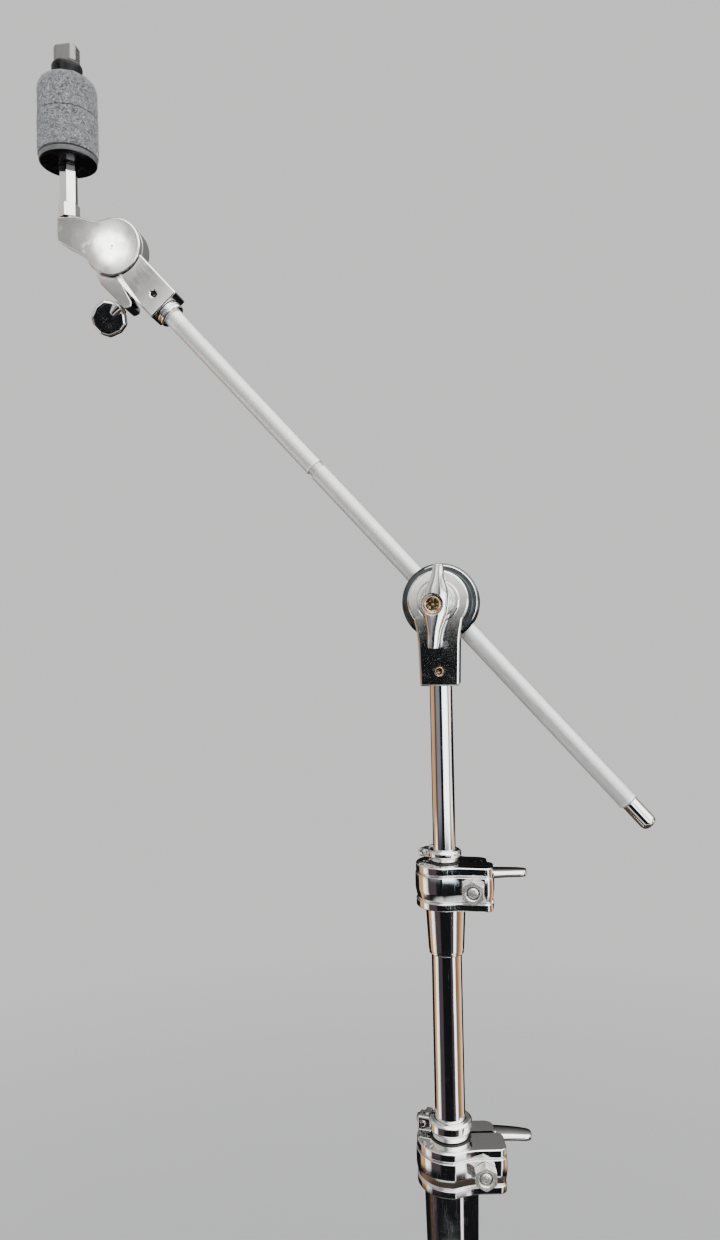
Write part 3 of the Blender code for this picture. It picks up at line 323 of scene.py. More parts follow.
class Look(Nodes):
    """A node material around one Principled shader, in object coordinates."""

    def __init__(self, name):
        self.material = bpy.data.materials.new(name)
        self.material.use_nodes = True
        super().__init__(self.material.node_tree)
        self.shader = self.tree.nodes["Principled BSDF"]
        self.coordinates = self.add("ShaderNodeTexCoord").outputs["Object"]
        self.normal = None

    def set(self, **values):
        for key, value in values.items():
            socket = self.shader.inputs[key.replace("_", " ")]
            if isinstance(value, bpy.types.NodeSocket):
                self.tree.links.new(value, socket)
            elif isinstance(value, tuple):
                socket.default_value = (*value, 1.0)
            else:
                socket.default_value = value

    def stretch(self, x, y, z):
        return self.add("ShaderNodeMapping",
                        {"Vector": self.coordinates, "Scale": (x, y, z)}).outputs[0]

    def noise(self, scale, detail=3.0, rough=0.5, vector=None):
        values = {"Vector": vector or self.coordinates, "Scale": scale, "Detail": detail,
                  "Roughness": rough}
        return self.add("ShaderNodeTexNoise", values).outputs[0]

    def cells(self, scale):
        values = {"Vector": self.coordinates, "Scale": scale}
        return self.add("ShaderNodeTexVoronoi", values).outputs["Distance"]

    def blend(self, factor, first, second):
        node = self.add("ShaderNodeMix", {0: factor}, data_type="RGBA")
        for index, value in ((6, first), (7, second)):
            if isinstance(value, bpy.types.NodeSocket):
                self.tree.links.new(value, node.inputs[index])
            else:
                node.inputs[index].default_value = (*value, 1.0)
        return node.outputs[2]

    def bump(self, height, distance, strength=1.0):
        values = {"Height": height, "Distance": distance, "Strength": strength}
        if self.normal:
            values["Normal"] = self.normal
        self.normal = self.add("ShaderNodeBump", values).outputs[0]
        self.tree.links.new(self.normal, self.shader.inputs["Normal"])

    def radius(self):
        """Distance from the piece's own Z axis."""
        parts = self.add("ShaderNodeSeparateXYZ", {"Vector": self.coordinates}).outputs
        square = self.math("ADD", self.math("MULTIPLY", parts[0], parts[0]),
                           self.math("MULTIPLY", parts[1], parts[1]))
        return self.math("SQRT", square), parts


def chrome(name, bright=0.86, cast=0.0, dull=0.03, tint=(1.0, 0.995, 0.985),
           painted_ring_radius=0.0, metal=1.0):
    """Polished plating: finger smudges, hairlines, pits and, on castings, soft waviness.

    With a painted ring radius, a painted highlight: a thin bright ring at that radius on one side
    of the piece's own axis, on faces turned up; the rest is coloured near black.
    """
    look = Look(name)
    smudge = look.noise(55.0, 5.0, 0.62)
    film = look.ramp(smudge, (0.42, 0.0), (0.68, 1.0))
    lines = look.noise(1.0, 2.0, 0.6, look.stretch(2600.0, 2600.0, 90.0))
    hair = look.ramp(lines, (0.61, 0.0), (0.67, 1.0))
    crossing = look.noise(1.0, 2.0, 0.6, look.stretch(120.0, 120.0, 2400.0))
    rub = look.ramp(crossing, (0.63, 0.0), (0.69, 1.0))
    pits = look.ramp(look.cells(420.0), (0.03, 1.0), (0.07, 0.0))
    rarely = look.ramp(look.noise(70.0, 2.0), (0.56, 0.0), (0.62, 1.0))
    spots = look.math("MULTIPLY", pits, rarely)
    worn = look.math("ADD", look.math("MULTIPLY", hair, 0.10), look.math("MULTIPLY", rub, 0.06))
    rough = look.math("ADD", look.math("MULTIPLY", film, 0.06), worn)
    rough = look.math("ADD", rough, look.math("MULTIPLY", spots, 0.35))
    rough = look.math("ADD", rough, dull, clamp=True)
    full = tuple(bright * part for part in tint)
    hazed = tuple(0.90 * part for part in full)
    colour = look.blend(film, full, hazed)
    if painted_ring_radius:
        radius, parts = look.radius()
        away = look.math("ABSOLUTE", look.math("SUBTRACT", radius, painted_ring_radius))
        # Painted highlight: a thin bright ring only on one side of the axis and on faces turned up;
        # the rest is coloured near black.
        dark = look.blend(film, (0.055, 0.062, 0.066), (0.09, 0.10, 0.105))
        painted_highlight_mask = look.math("MULTIPLY", look.math("LESS_THAN", away, 0.28 * MM),
                             look.math("GREATER_THAN", parts[0], painted_ring_radius * 0.3))
        facing = look.add("ShaderNodeSeparateXYZ",
                          {"Vector": look.add("ShaderNodeTexCoord").outputs["Normal"]})
        painted_highlight_mask = look.math("MULTIPLY", painted_highlight_mask, look.math("GREATER_THAN", facing.outputs[2], 0.4))
        colour = look.blend(painted_highlight_mask, dark, colour)
    colour = look.blend(spots, colour, (0.16, 0.13, 0.11))
    look.set(Base_Color=colour, Metallic=metal, Roughness=rough)
    look.bump(hair, 0.004 * MM, 0.35)
    if cast:
        look.bump(look.noise(60.0, 2.0), cast * MM, 1.0)
    return look.material


def turned_steel(name, colour, dull=0.2, metal=1.0, mottle=0.006 * MM):
    """Machined metal: concentric tool marks about the piece's own axis."""
    look = Look(name)
    radius, _ = look.radius()
    drift = look.noise(500.0, 3.0)
    rings = look.math("SINE", look.math("ADD", look.math("MULTIPLY", radius, 26000.0),
                                        look.math("MULTIPLY", drift, 5.0)))
    grime = look.ramp(look.noise(240.0, 5.0, 0.65), (0.48, 0.0), (0.72, 1.0))
    look.set(Metallic=metal)
    dark = tuple(0.35 * part for part in colour)
    look.set(Base_Color=look.blend(look.math("MULTIPLY", grime, 0.6), colour, dark))
    look.set(Roughness=look.math("ADD", look.math("MULTIPLY", grime, 0.25), dull))
    look.bump(rings, 0.012 * MM, 0.6)
    look.bump(look.noise(520.0, 3.0), mottle, 0.6)
    return look.material


def recessed_steel(name, rim):
    """Screw head: a copper-toned rim around a recess darkened with painted shade, with bright worn
    edges.
    """
    look = Look(name)
    radius, _ = look.radius()
    painted_shade_mask = look.math("LESS_THAN", radius, rim)
    worn = look.ramp(look.noise(700.0, 3.0, 0.6), (0.52, 0.0), (0.60, 1.0))
    rim_tone = look.blend(worn, (0.62, 0.38, 0.26), (0.86, 0.74, 0.60))
    # Painted shade: inside the rim radius the recess is coloured dark, with bright wear patches mixed
    # in.
    painted_shade_and_wear = look.blend(look.math("MULTIPLY", worn, 0.55), (0.06, 0.035, 0.015), (0.75, 0.62, 0.36))
    look.set(Base_Color=look.blend(painted_shade_mask, rim_tone, painted_shade_and_wear), Metallic=0.9)
    look.set(Roughness=look.math("ADD", look.math("MULTIPLY", worn, 0.15), 0.22))
    look.bump(look.noise(420.0, 3.0, 0.6), 0.12 * MM, 0.8)
    return look.material


def knurled(name):
    """Bright rolled knurl: sharp points polished, hollows slightly grey."""
    look = Look(name)
    radius, _ = look.radius()
    low, high = 6.2 * MM, 6.5 * MM
    tip = look.math("DIVIDE", look.math("SUBTRACT", radius, low), high - low, clamp=True)
    patch = look.noise(35.0, 4.0, 0.6)
    hollow = look.blend(patch, (0.60, 0.60, 0.60), (0.78, 0.78, 0.77))
    look.set(Base_Color=look.blend(tip, hollow, (0.98, 0.98, 0.97)), Metallic=0.45)
    scuff = look.ramp(look.noise(1.0, 3.0, 0.6, look.stretch(500.0, 500.0, 60.0)),
                      (0.5, 0.0), (0.7, 1.0))
    look.set(Roughness=look.math("ADD", look.math("MULTIPLY", scuff, 0.12), 0.34))
    look.bump(look.noise(1600.0, 3.0), 0.03 * MM, 0.5)
    return look.material


def plastic(name, colour, dull, grain, dust=0.25, shine=0.5, painted_sheen_radius=0.0):
    """Moulded plastic or rubber: fine grain, faint scuffs and settled dust.

    Beyond a given radius about the piece's own axis the surface is painted streaky grey: a painted
    highlight.
    """
    look = Look(name)
    cloud = look.noise(120.0, 4.0, 0.6)
    specks = look.ramp(look.cells(900.0), (0.05, 1.0), (0.12, 0.0))
    where = look.ramp(cloud, (0.5, 0.0), (0.68, 1.0))
    dusty = look.math("MULTIPLY", look.math("MULTIPLY", specks, where), dust)
    pale = tuple(min(1.0, part * 2.0 + 0.015) for part in colour)
    base = look.blend(look.math("MULTIPLY", where, 0.5), colour, pale)
    # Painted highlight: beyond the radius, on the cup's outer rim, the surface is painted streaky
    # grey.
    if painted_sheen_radius:
        radius, _ = look.radius()
        streaks = look.noise(1.0, 3.0, 0.6, look.stretch(260.0, 260.0, 1500.0))
        painted_rim_sheen = look.blend(streaks, (0.08, 0.08, 0.082), (0.24, 0.24, 0.245))
        base = look.blend(look.math("GREATER_THAN", radius, painted_sheen_radius), base, painted_rim_sheen)
    look.set(Base_Color=look.blend(dusty, base, (0.32, 0.31, 0.30)))
    scuff = look.ramp(look.noise(1.0, 2.0, 0.6, look.stretch(1500.0, 1500.0, 120.0)),
                      (0.6, 0.0), (0.68, 1.0))
    rough = look.math("ADD", look.math("MULTIPLY", where, 0.10), look.math("MULTIPLY", scuff, 0.15))
    look.set(Roughness=look.math("ADD", rough, dull), Specular_IOR_Level=shine)
    look.bump(look.noise(1400.0, 3.0, 0.6), grain * MM, 0.8)
    look.bump(scuff, 0.01 * MM, 0.4)
    return look.material


def sleeve_grey(name):
    """Satin anodised grey with fine lines along the axis."""
    look = Look(name)
    lines = look.noise(1.0, 3.0, 0.6, look.stretch(3800.0, 3800.0, 45.0))
    cloud = look.noise(160.0, 4.0)
    colour = look.blend(lines, (0.20, 0.195, 0.19), (0.31, 0.30, 0.29))
    look.set(Base_Color=look.blend(look.math("MULTIPLY", cloud, 0.35), colour, (0.13, 0.13, 0.13)))
    look.set(Metallic=0.75, Roughness=look.math("ADD", look.math("MULTIPLY", lines, 0.15), 0.30))
    look.bump(lines, 0.02 * MM, 0.6)
    return look.material


def felt_wool(name):
    """Heather grey felt: pale and dark fibres pressed in every direction."""
    look = Look(name)
    warp = look.add("ShaderNodeTexNoise", {"Vector": look.coordinates, "Scale": 260.0, "Detail": 2.0})
    bend = look.add("ShaderNodeVectorMath", {0: warp.outputs["Color"], 1: (0.010, 0.010, 0.010)},
                    operation="MULTIPLY").outputs[0]
    place = look.add("ShaderNodeVectorMath", {0: look.coordinates, 1: bend},
                     operation="ADD").outputs[0]
    one = look.add("ShaderNodeMapping", {"Vector": place, "Scale": (380.0, 380.0, 1250.0),
                                         "Rotation": (0.6, 0.4, 0.0)}).outputs[0]
    two = look.add("ShaderNodeMapping", {"Vector": place, "Scale": (380.0, 380.0, 1250.0),
                                         "Rotation": (-0.7, 0.9, 0.3)}).outputs[0]
    pale = look.ramp(look.noise(1.0, 3.0, 0.6, one), (0.53, 0.0), (0.60, 1.0))
    dark = look.ramp(look.noise(1.0, 3.0, 0.6, two), (0.50, 0.0), (0.57, 1.0))
    cloud = look.noise(140.0, 4.0)
    base = look.blend(cloud, (0.17, 0.175, 0.185), (0.30, 0.305, 0.315))
    base = look.blend(look.math("MULTIPLY", dark, 0.8), base, (0.045, 0.047, 0.055))
    base = look.blend(look.math("MULTIPLY", pale, 0.85), base, (0.66, 0.66, 0.67))
    look.set(Base_Color=base, Roughness=0.95, Sheen_Weight=0.35, Sheen_Roughness=0.5)
    look.bump(look.noise(1.0, 4.0, 0.65, one), 0.35 * MM, 0.8)
    look.bump(look.noise(900.0, 4.0, 0.7), 0.25 * MM, 0.7)
    return look.material


def fibre_wool(name):
    """Loose fibres: each strand has its own grey."""
    look = Look(name)
    shade = look.add("ShaderNodeAttribute", attribute_name="shade").outputs["Fac"]
    along = look.noise(700.0, 2.0)
    tone = look.math("ADD", shade, look.math("MULTIPLY", along, 0.12))
    colour = look.ramp(tone, (0.0, (0.03, 0.03, 0.035)), (0.45, (0.18, 0.183, 0.19)),
                       (0.75, (0.48, 0.48, 0.49)), (1.0, (0.80, 0.80, 0.80)))
    look.set(Base_Color=colour, Roughness=0.85, Sheen_Weight=0.3)
    return look.material


def floor_sweep(name):
    """Pale studio floor that fades into the backdrop away from the stand."""
    look = Look(name)
    radius, _ = look.radius()
    mottle = look.noise(3.0, 5.0, 0.6)
    look.set(Base_Color=look.blend(mottle, (0.70, 0.70, 0.69), (0.74, 0.74, 0.73)), Roughness=0.65)
    fade = look.math("DIVIDE", look.math("SUBTRACT", radius, 0.55), 1.6, clamp=True)
    fade = look.math("SMOOTH_MIN", fade, 1.0, 0.05)
    look.set(Alpha=look.math("SUBTRACT", 1.0, fade, clamp=True))
    return look.material


CHROME = chrome("polished_chrome")
CAST_CHROME = chrome("cast_chrome", cast=0.03, dull=0.045)
TUBE_CHROME = chrome("tube_chrome", dull=0.02)
# The drum's thin bright rim line is a painted highlight.
DRUM_CHROME = chrome("drum_chrome", dull=0.17, painted_ring_radius=23.7 * MM)
FACE_CHROME = chrome("arm_chrome", bright=0.90, cast=0.012, dull=0.035)
LEG_CHROME = chrome("leg_chrome", bright=0.62, dull=0.14, tint=(0.90, 0.96, 1.0), metal=0.6)
HARDWARE = turned_steel("turned_hardware", (0.72, 0.71, 0.69))
NUT_STEEL = turned_steel("nut_steel", (0.82, 0.79, 0.75), 0.22, metal=0.8, mottle=0.16 * MM)
SET_SCREW = recessed_steel("set_screw_steel", 2.0 * MM)
CAP_SCREW = recessed_steel("cap_screw_steel", 4.1 * MM)
KNURL = knurled("knurled_boom_metal")
# The black plastic is painted streaky grey beyond 19.55 mm, a painted highlight on the cup's rim.
BLACK = plastic("black_gloss_plastic", (0.004, 0.004, 0.005), 0.17, 0.006, 0.12, 0.26, 19.55 * MM)
NYLON = plastic("black_nylon", (0.012, 0.012, 0.013), 0.38, 0.02, 0.2, 0.35)
RUBBER = plastic("rubber", (0.022, 0.021, 0.021), 0.62, 0.06, dust=0.6)
SLEEVE = sleeve_grey("sleeve_metal")
FELT = felt_wool("grey_felt_wool")
FIBRE = fibre_wool("grey_felt_fibre")


# ---------------------------------------------------------------- shared parts

def oblong(x, half_y, low, high):
    middle = (low + high) / 2
    half = (high - low) / 2
    corner = 0.62
    return [
        (x, half_y, middle - half * corner), (x, half_y, middle + half * corner),
        (x, half_y * corner, high), (x, -half_y * corner, high),
        (x, -half_y, middle + half * corner), (x, -half_y, middle - half * corner),
        (x, -half_y * corner, low), (x, half_y * corner, low),
    ]


def wings(reach_plus, reach_minus, depth, thickness, place, flare=1.15, front=None):
    """Two soft wings along X, swept forward along Z and thin in Y.

    They are wider by flare near the hub. With a front share, the front edge stays at that depth.
    """
    half = thickness / 2
    stations = [
        (-1, 0.66, 0.66, 0.86), (-0.985, 0.86, 0.56, 0.96), (-0.90, 1, 0.47, 1),
        (-0.62, 1, 0.38, 0.98), (-0.28, flare, 0.18, 0.86), (0, flare, 0.08, 0.74),
        (0.28, flare, 0.18, 0.86), (0.62, 1, 0.38, 0.98), (0.90, 1, 0.47, 1),
        (0.985, 0.86, 0.56, 0.96), (1, 0.66, 0.66, 0.86),
    ]
    rings = []
    for share, thick, low, high in stations:
        x = share * (reach_plus if share > 0 else reach_minus)
        rings.append(oblong(x, half * thick, low * depth, (front or high) * depth))
    return loft("wings", rings, place, smooth=3)


def thread(radius, start, end, pitch=1.25):
    """Profile points of a screw thread from one height down to another."""
    points = []
    height = start
    while height - pitch > end:
        points += [(radius, height - pitch * 0.25), (radius - 0.45, height - pitch * 0.75)]
        height -= pitch
    return points


def wing_bolt(name, shank, length, hub, hub_length, reach, depth, thickness, place):
    """A bolt down from its seat at z = 0, with a domed hub and two wings."""
    profile = [
        (0, hub_length), (hub * 0.62, hub_length), (hub * 0.86, hub_length - 1.2),
        (hub, hub_length - 4), (hub, 1), (hub - 1, 0), (shank, 0),
    ]
    profile += thread(shank, -length * 0.45, -length + 0.8)
    profile += [(shank - 0.5, -length + 0.7), (shank * 0.6, -length + 0.2), (0, -length)]
    bolt = turned(name, profile, place, FINE_STEPS, soft=0.2)
    return join(bolt, wings(reach, reach, depth, thickness, place))


def hex_nut(name, across_flats, thickness, bore, place):
    """A chamfered hexagon nut from z = 0 to its thickness."""
    radius = across_flats / math.sqrt(3)
    outline = [(radius * math.sin(math.radians(60 * i)), radius * math.cos(math.radians(60 * i)))
               for i in range(6)]
    nut = plate(name, outline, 0, thickness, place)
    bevel(nut, 0.25, 2, 50)
    crown = turned("crown", [
        (0, thickness + GAP), (radius * 0.90, thickness + GAP), (radius * 1.12, thickness - 1.9),
        (radius * 1.12, 1.4), (radius * 0.90, -GAP), (0, -GAP),
    ], place, STEPS, soft=0)
    combine(nut, crown, "INTERSECT")
    hole = turned("bore", [
        (0, thickness + 2), (bore + 2.6, thickness + 2), (bore, thickness - 0.6), (bore, -1), (0, -1),
    ], place, FINE_STEPS, soft=0)
    return cut(nut, hole)


# ---------------------------------------------------------------- height clamps

def clamp_outline(body, reach, front, grow):
    back = body * 0.78
    points = arc(body + grow, 62, 270, 40)
    points += [
        (body * 0.55, -front - grow), (reach - 3, -front - grow),
        (reach + grow, -front + 3), (reach + grow, 0), (reach - 4 + grow, 3), (reach - 5, back - 3),
        (reach - 9, back + grow), (body * 0.6, back + grow),
    ]
    return rounded(points, 5.5, closed=True, count=6)


def banded_casting(name, body, reach, front, low, high, place):
    """Clamp body: two flanges and a full middle band, with soft grooves between."""
    tall = high - low
    levels = [
        (-0.4, 0), (0, 0.015), (0, 0.165), (-1.3, 0.173), (-1.3, 0.208),
        (-0.6, 0.225), (0.25, 0.37), (0.5, 0.44), (0.5, 0.64), (0.4, 0.775),
        (-1.3, 0.785), (-1.3, 0.82), (0, 0.828), (0, 0.985), (-0.4, 1),
    ]
    rows = [(grow, share * tall) for grow, share in levels]
    rings = []
    for grow, height in rounded(rows, 0.3, count=3):
        rings.append([(x, y, low + height) for x, y in clamp_outline(body, reach, front, grow)])
    return loft(name, rings, place)


def height_clamp(side, body, reach, front, skirt_top, skirt_bottom, bore, nut_x, yaw,
                 wing_reach, wing_drop, flange):
    """One height clamp, its hexagon nut and its wing bolt."""
    place = turn("Z", yaw)
    bottom, top = extent(side + "_clamp")
    skirt_low, high = bottom.z, top.z
    low = high - flange
    name = side + "_clamp_finished"
    casting = banded_casting(name, body, reach, front, low, high, place)
    skirt = turned("skirt", [
        (0, low + 5), (skirt_top, low + 5), (skirt_top, low - 3),
        (skirt_bottom + 0.3, skirt_low + 3), (skirt_bottom, skirt_low + 2),
        (skirt_bottom, skirt_low), (0, skirt_low),
    ], place, STEPS, soft=0.8)
    join(casting, skirt)
    drill(casting, bore, skirt_low - 5, high + 5, place, STEPS)
    cut(casting, box("slit", (body * 0.3, 1.8, low - 1),
                     (reach + 5, 4, high + 1), place))
    middle = (low + high) / 2
    axis = place @ shift(nut_x, 0, middle)
    drill(casting, 4.2, -40, 40, axis @ TOWARDS_FRONT)
    owner = {"lower": "root", "upper": "middle"}[side]
    settle(casting, owner, [side + "_clamp"], CAST_CHROME)

    face = front + 0.7 + GAP
    nut = hex_nut(side + "_nut_finished", NUT_ACROSS, 6.3, 4.15,
                  axis @ shift(0, -face, 0) @ TOWARDS_FRONT)
    settle(nut, owner, [side + "_clamp_nut"], NUT_STEEL)
    seat = body * 0.78 + 0.7 + GAP
    bolt = wing_bolt(side + "_wing_finished", BOLT, seat + face + 6, 7.2, 9,
                     wing_reach, 22, 5.2,
                     axis @ shift(0, seat, 0) @ turn("Y", wing_drop) @ TOWARDS_BACK)
    settle(bolt, side + "_wing", [side + "_wing_bolt"], CAST_CHROME)
    bolt.data.materials.append(NUT_STEEL)
    for polygon in bolt.data.polygons:
        if polygon.center.z < -(seat + face + 4) * MM:
            polygon.material_index = 1


def bush(side, body):
    """Nylon bush that lines the clamp and stands a little out of it."""
    low, high = extent(side + "_bush")
    radius = high.x
    bore = {"lower": MIDDLE_TUBE, "upper": UPPER_TUBE}[side] + GAP
    piece = turned(side + "_bush_finished", [
        (radius - 0.3, high.z), (radius, high.z - 0.4), (radius, low.z + 1),
        (radius - 0.6, low.z), (bore, low.z), (bore, high.z - 0.8), (bore + 0.5, high.z),
    ], STILL, STEPS, hollow=True)
    settle(piece, body, [side + "_bush"], NYLON)


def stop_collar(side, body, radius, bore, yaw):
    """Memory collar: a split ring with two lugs and a square-headed key screw."""
    place = turn("Z", yaw)
    bottom, top = extent(side + "_stop_collar")
    low, high = bottom.z, top.z
    tall = high - low
    collar = turned(side + "_collar_finished", [
        (radius - 1.2, high), (radius, high - 1.2), (radius, low + tall * 0.45),
        (radius - 2, low + tall * 0.3), (radius - 2, low), (bore, low), (bore, high),
    ], place, STEPS, hollow=True, soft=0.5)
    half = 4.6
    join(collar, box("lug", (radius - 3, -half, low + 1),
                     (radius + 7, half, high - 1), place, 1.3, 4))
    cut(collar, box("slit", (bore * 0.5, -0.9, low - 1),
                    (radius + 10, 0.9, high + 1), place))
    axis = place @ shift(radius + 3.2, 0, (low + high) / 2) @ TOWARDS_FRONT
    drill(collar, 2.3, -9, 9, axis)
    settle(collar, body, [side + "_stop_collar"], CAST_CHROME)
    seat = half + GAP
    rim = seat + 2.4
    profile = [(0, rim), (2.9, rim), (3.3, rim - 0.5), (3.3, seat), (2, seat)]
    profile += thread(2, 1, -half, 0.9)
    profile += [(1.5, -half - 0.5), (0, -half - 0.5)]
    screw = turned(side + "_key_finished", profile, axis, FINE_STEPS, soft=0.2)
    join(screw, box("head", (-2.1, -2.1, rim - 1), (2.1, 2.1, rim + 5),
                    axis, 0.4))
    settle(screw, body, [side + "_stop_screw"], CHROME)


# ---------------------------------------------------------------- pole

def pole_tube(node, body, wall):
    low, high = extent(node)
    radius = high.x
    piece = turned(node + "_finished", [
        (radius, high.z), (radius, low.z), (radius - wall, low.z), (radius - wall, high.z),
    ], STILL, 128, hollow=True, soft=0.4)
    settle(piece, body, [node], TUBE_CHROME)


def pole():
    pole_tube("base_tube", "root", 1.5)
    pole_tube("middle_tube", "middle", 1.2)
    pole_tube("upper_tube", "upper", 1.2)
    height_clamp("lower", body=21.2, reach=33, front=17, skirt_top=16.9, skirt_bottom=15.8,
                 bore=BASE_TUBE + GAP, nut_x=18.9, yaw=9, wing_reach=38.7, wing_drop=10, flange=27)
    height_clamp("upper", body=18.3, reach=30.5, front=15.2, skirt_top=12.5, skirt_bottom=10.9,
                 bore=MIDDLE_TUBE + GAP, nut_x=19, yaw=-2, wing_reach=31.5, wing_drop=1, flange=26.5)
    bush("lower", "lower_swivel")
    bush("upper", "upper_swivel")
    stop_collar("lower", "middle", 13.6, MIDDLE_TUBE + GAP, 168)
    stop_collar("upper", "upper", 10.6, UPPER_TUBE + GAP, 150)


# ---------------------------------------------------------------- boom clamp

def boom_bracket():
    """Teardrop casting with a turned face above a block that takes the upper tube."""
    pivot = height_of("boom_tilt")
    low, high = extent("boom_bracket")
    drop = low.z - pivot
    outline = arc(high.x, -38, 218, 72)
    outline += [(-13.6, -20), (-12.9, -27), (-12.15, drop),
                (12.15, drop), (12.9, -27), (13.6, -20)]
    place = shift(0, 0, pivot) @ TOWARDS_FRONT
    front, back = -low.y, -high.y
    bracket = plate("boom_bracket_finished", outline, back, front, place, 1.4)
    groove = turned("groove", [
        (12.6, front + 1), (12.6, front - 0.3), (13.1, front - 0.5),
        (13.6, front - 0.3), (13.6, front + 1),
    ], place, STEPS, hollow=True, soft=0)
    cut(bracket, groove)
    drill(bracket, UPPER_TUBE + GAP, low.z - 5, 974 + GAP, STILL, STEPS)
    drill(bracket, BOLT + GAP, -30, 30, place)
    screw_low, screw_high = extent("bracket_set_screw")
    height = (screw_low.z + screw_high.z) / 2
    hole = turned("screw_hole", [
        (0, 30), (3.5, 30), (3.5, front + 0.1), (3.2, front - 0.3), (3.2, 3.5), (0, 3.5),
    ], shift(0, 0, height) @ TOWARDS_FRONT, FINE_STEPS, soft=0)
    cut(bracket, hole)
    settle(bracket, "upper", ["boom_bracket"], CAST_CHROME)
    tip = -screw_low.y
    seat = shift(0, 0, height) @ TOWARDS_FRONT
    screw = turned("bracket_screw_finished", [
        (0, tip), (2.3, tip), (2.9, tip - 0.6), (2.9, -screw_high.y), (0, -screw_high.y),
    ], seat, FINE_STEPS, soft=0.15)
    cut(screw, turned("socket", [(0, tip + 1), (1.5, tip + 1), (1.5, tip - 2),
                                 (0, tip - 2.8)], seat, 6, soft=0))
    settle(screw, "upper", ["bracket_set_screw"], SET_SCREW)


def boom_drum(boom):
    """Drum behind the bracket, bored across for the boom, and its eye bolt."""
    place = boom @ TOWARDS_FRONT
    corner = extent("boom_drum", boom)[1]
    radius = corner.x
    half = corner.y
    body = turned("boom_drum_finished", [
        (0, half), (radius - 4.6, half), (radius - 4.2, half - 0.35),
        (radius - 3.8, half), (radius - 1.6, half), (radius, half - 1.6),
        (radius, -half + 1.6), (radius - 1.6, -half), (radius - 3.8, -half),
        (radius - 4.2, -half + 0.35), (radius - 4.6, -half), (0, -half),
    ], place, 144, soft=0.35)
    drill(body, BOOM + GAP, -40, 40, boom, STEPS)
    drill(body, 9.8, -4.6, 4.6, boom, STEPS)
    drill(body, BOLT + GAP, 0, 20, place)
    settle(body, "drum", ["boom_drum"], DRUM_CHROME)

    tip = -extent("drum_eye_bolt", boom)[0].y
    bolt = turned("eye_bolt_finished", [
        (0, tip), (2.8, tip), (3.4, tip - 0.6)] + thread(BOLT, tip - 1, 26)
        + [(BOLT, 26), (BOLT, 7.5), (0, 7.5)], place, FINE_STEPS, soft=0.1)
    join(bolt, rod("eye", 9.2, -4, 4, boom, STEPS))
    drill(bolt, BOOM + GAP, -9, 9, boom, STEPS)
    settle(bolt, "drum", ["drum_eye_bolt"], HARDWARE)

    near, far = extent("wing_washer")
    bottom, top = -far.y, -near.y
    washer = turned("washer_finished", [
        (8.3, top), (8.7, top - 0.35), (9.1, top), (9.9, top),
        (10.2, top - 0.3), (10.5, top - 0.1), (11, top - 0.6), (11, bottom),
        (BOLT + GAP, bottom), (BOLT + GAP, top), (7.4, top), (7.7, top - 0.3), (8, top),
    ], shift(0, 0, height_of("boom_tilt")) @ TOWARDS_FRONT, STEPS, hollow=True, soft=0.12)
    settle(washer, "drum", ["wing_washer"], HARDWARE)


def boom_wing():
    """Wing nut in front of the bracket, with a cross-head screw in its face."""
    seat = at_joint("boom_wing_turn")
    place = seat @ TOWARDS_FRONT
    face = 13.5
    lean = (-2.4, -2.8)
    rows = rounded([(7.2, 0), (7.8, 2), (8.4, 9), (8.4, 12.4),
                    (7.6, face)], 0.7)
    rings = []
    for radius, height in rows:
        centre = (lean[0] * height / face, lean[1] * height / face)
        rings.append([(x, y, height)
                      for x, y in arc(radius, 0, 360 - 360 / STEPS, STEPS - 1, centre)])
    nut = loft("boom_wing_finished", rings, place)
    upright = seat @ turn("Y", 5) @ TOWARDS_RIGHT @ TOWARDS_FRONT
    join(nut, wings(30, 21.5, 17, 7.4, upright, 2.1, 0.96))
    middle = place @ shift(*lean, 0)
    cut(nut, turned("recess", [
        (0, face + 12), (7, face + 12), (7, face - 0.3),
        (6.3, face - 1), (6.3, face - 2.2), (0, face - 2.2),
    ], middle, STEPS, soft=0))
    drill(nut, BOLT + GAP, -2, face - 1, place)
    settle(nut, "boom_wing", ["boom_wing_nut"], CAST_CHROME)
    low = face - 1.9
    high = face + 0.2
    screw = turned("cap_screw_finished", [
        (0, high - 0.5), (3.9, high - 0.4), (4.5, high), (5.4, high - 0.4), (5.9, low), (0, low),
    ], middle, STEPS, soft=0.25)
    for across, along in ((3.4, 0.7), (0.7, 3.4)):
        cut(screw, box("cross", (-across, -along, high - 1.4), (across, along, high + 2), middle))
    settle(screw, "boom_wing", ["wing_cap_screw"], CAP_SCREW)


# ---------------------------------------------------------------- boom

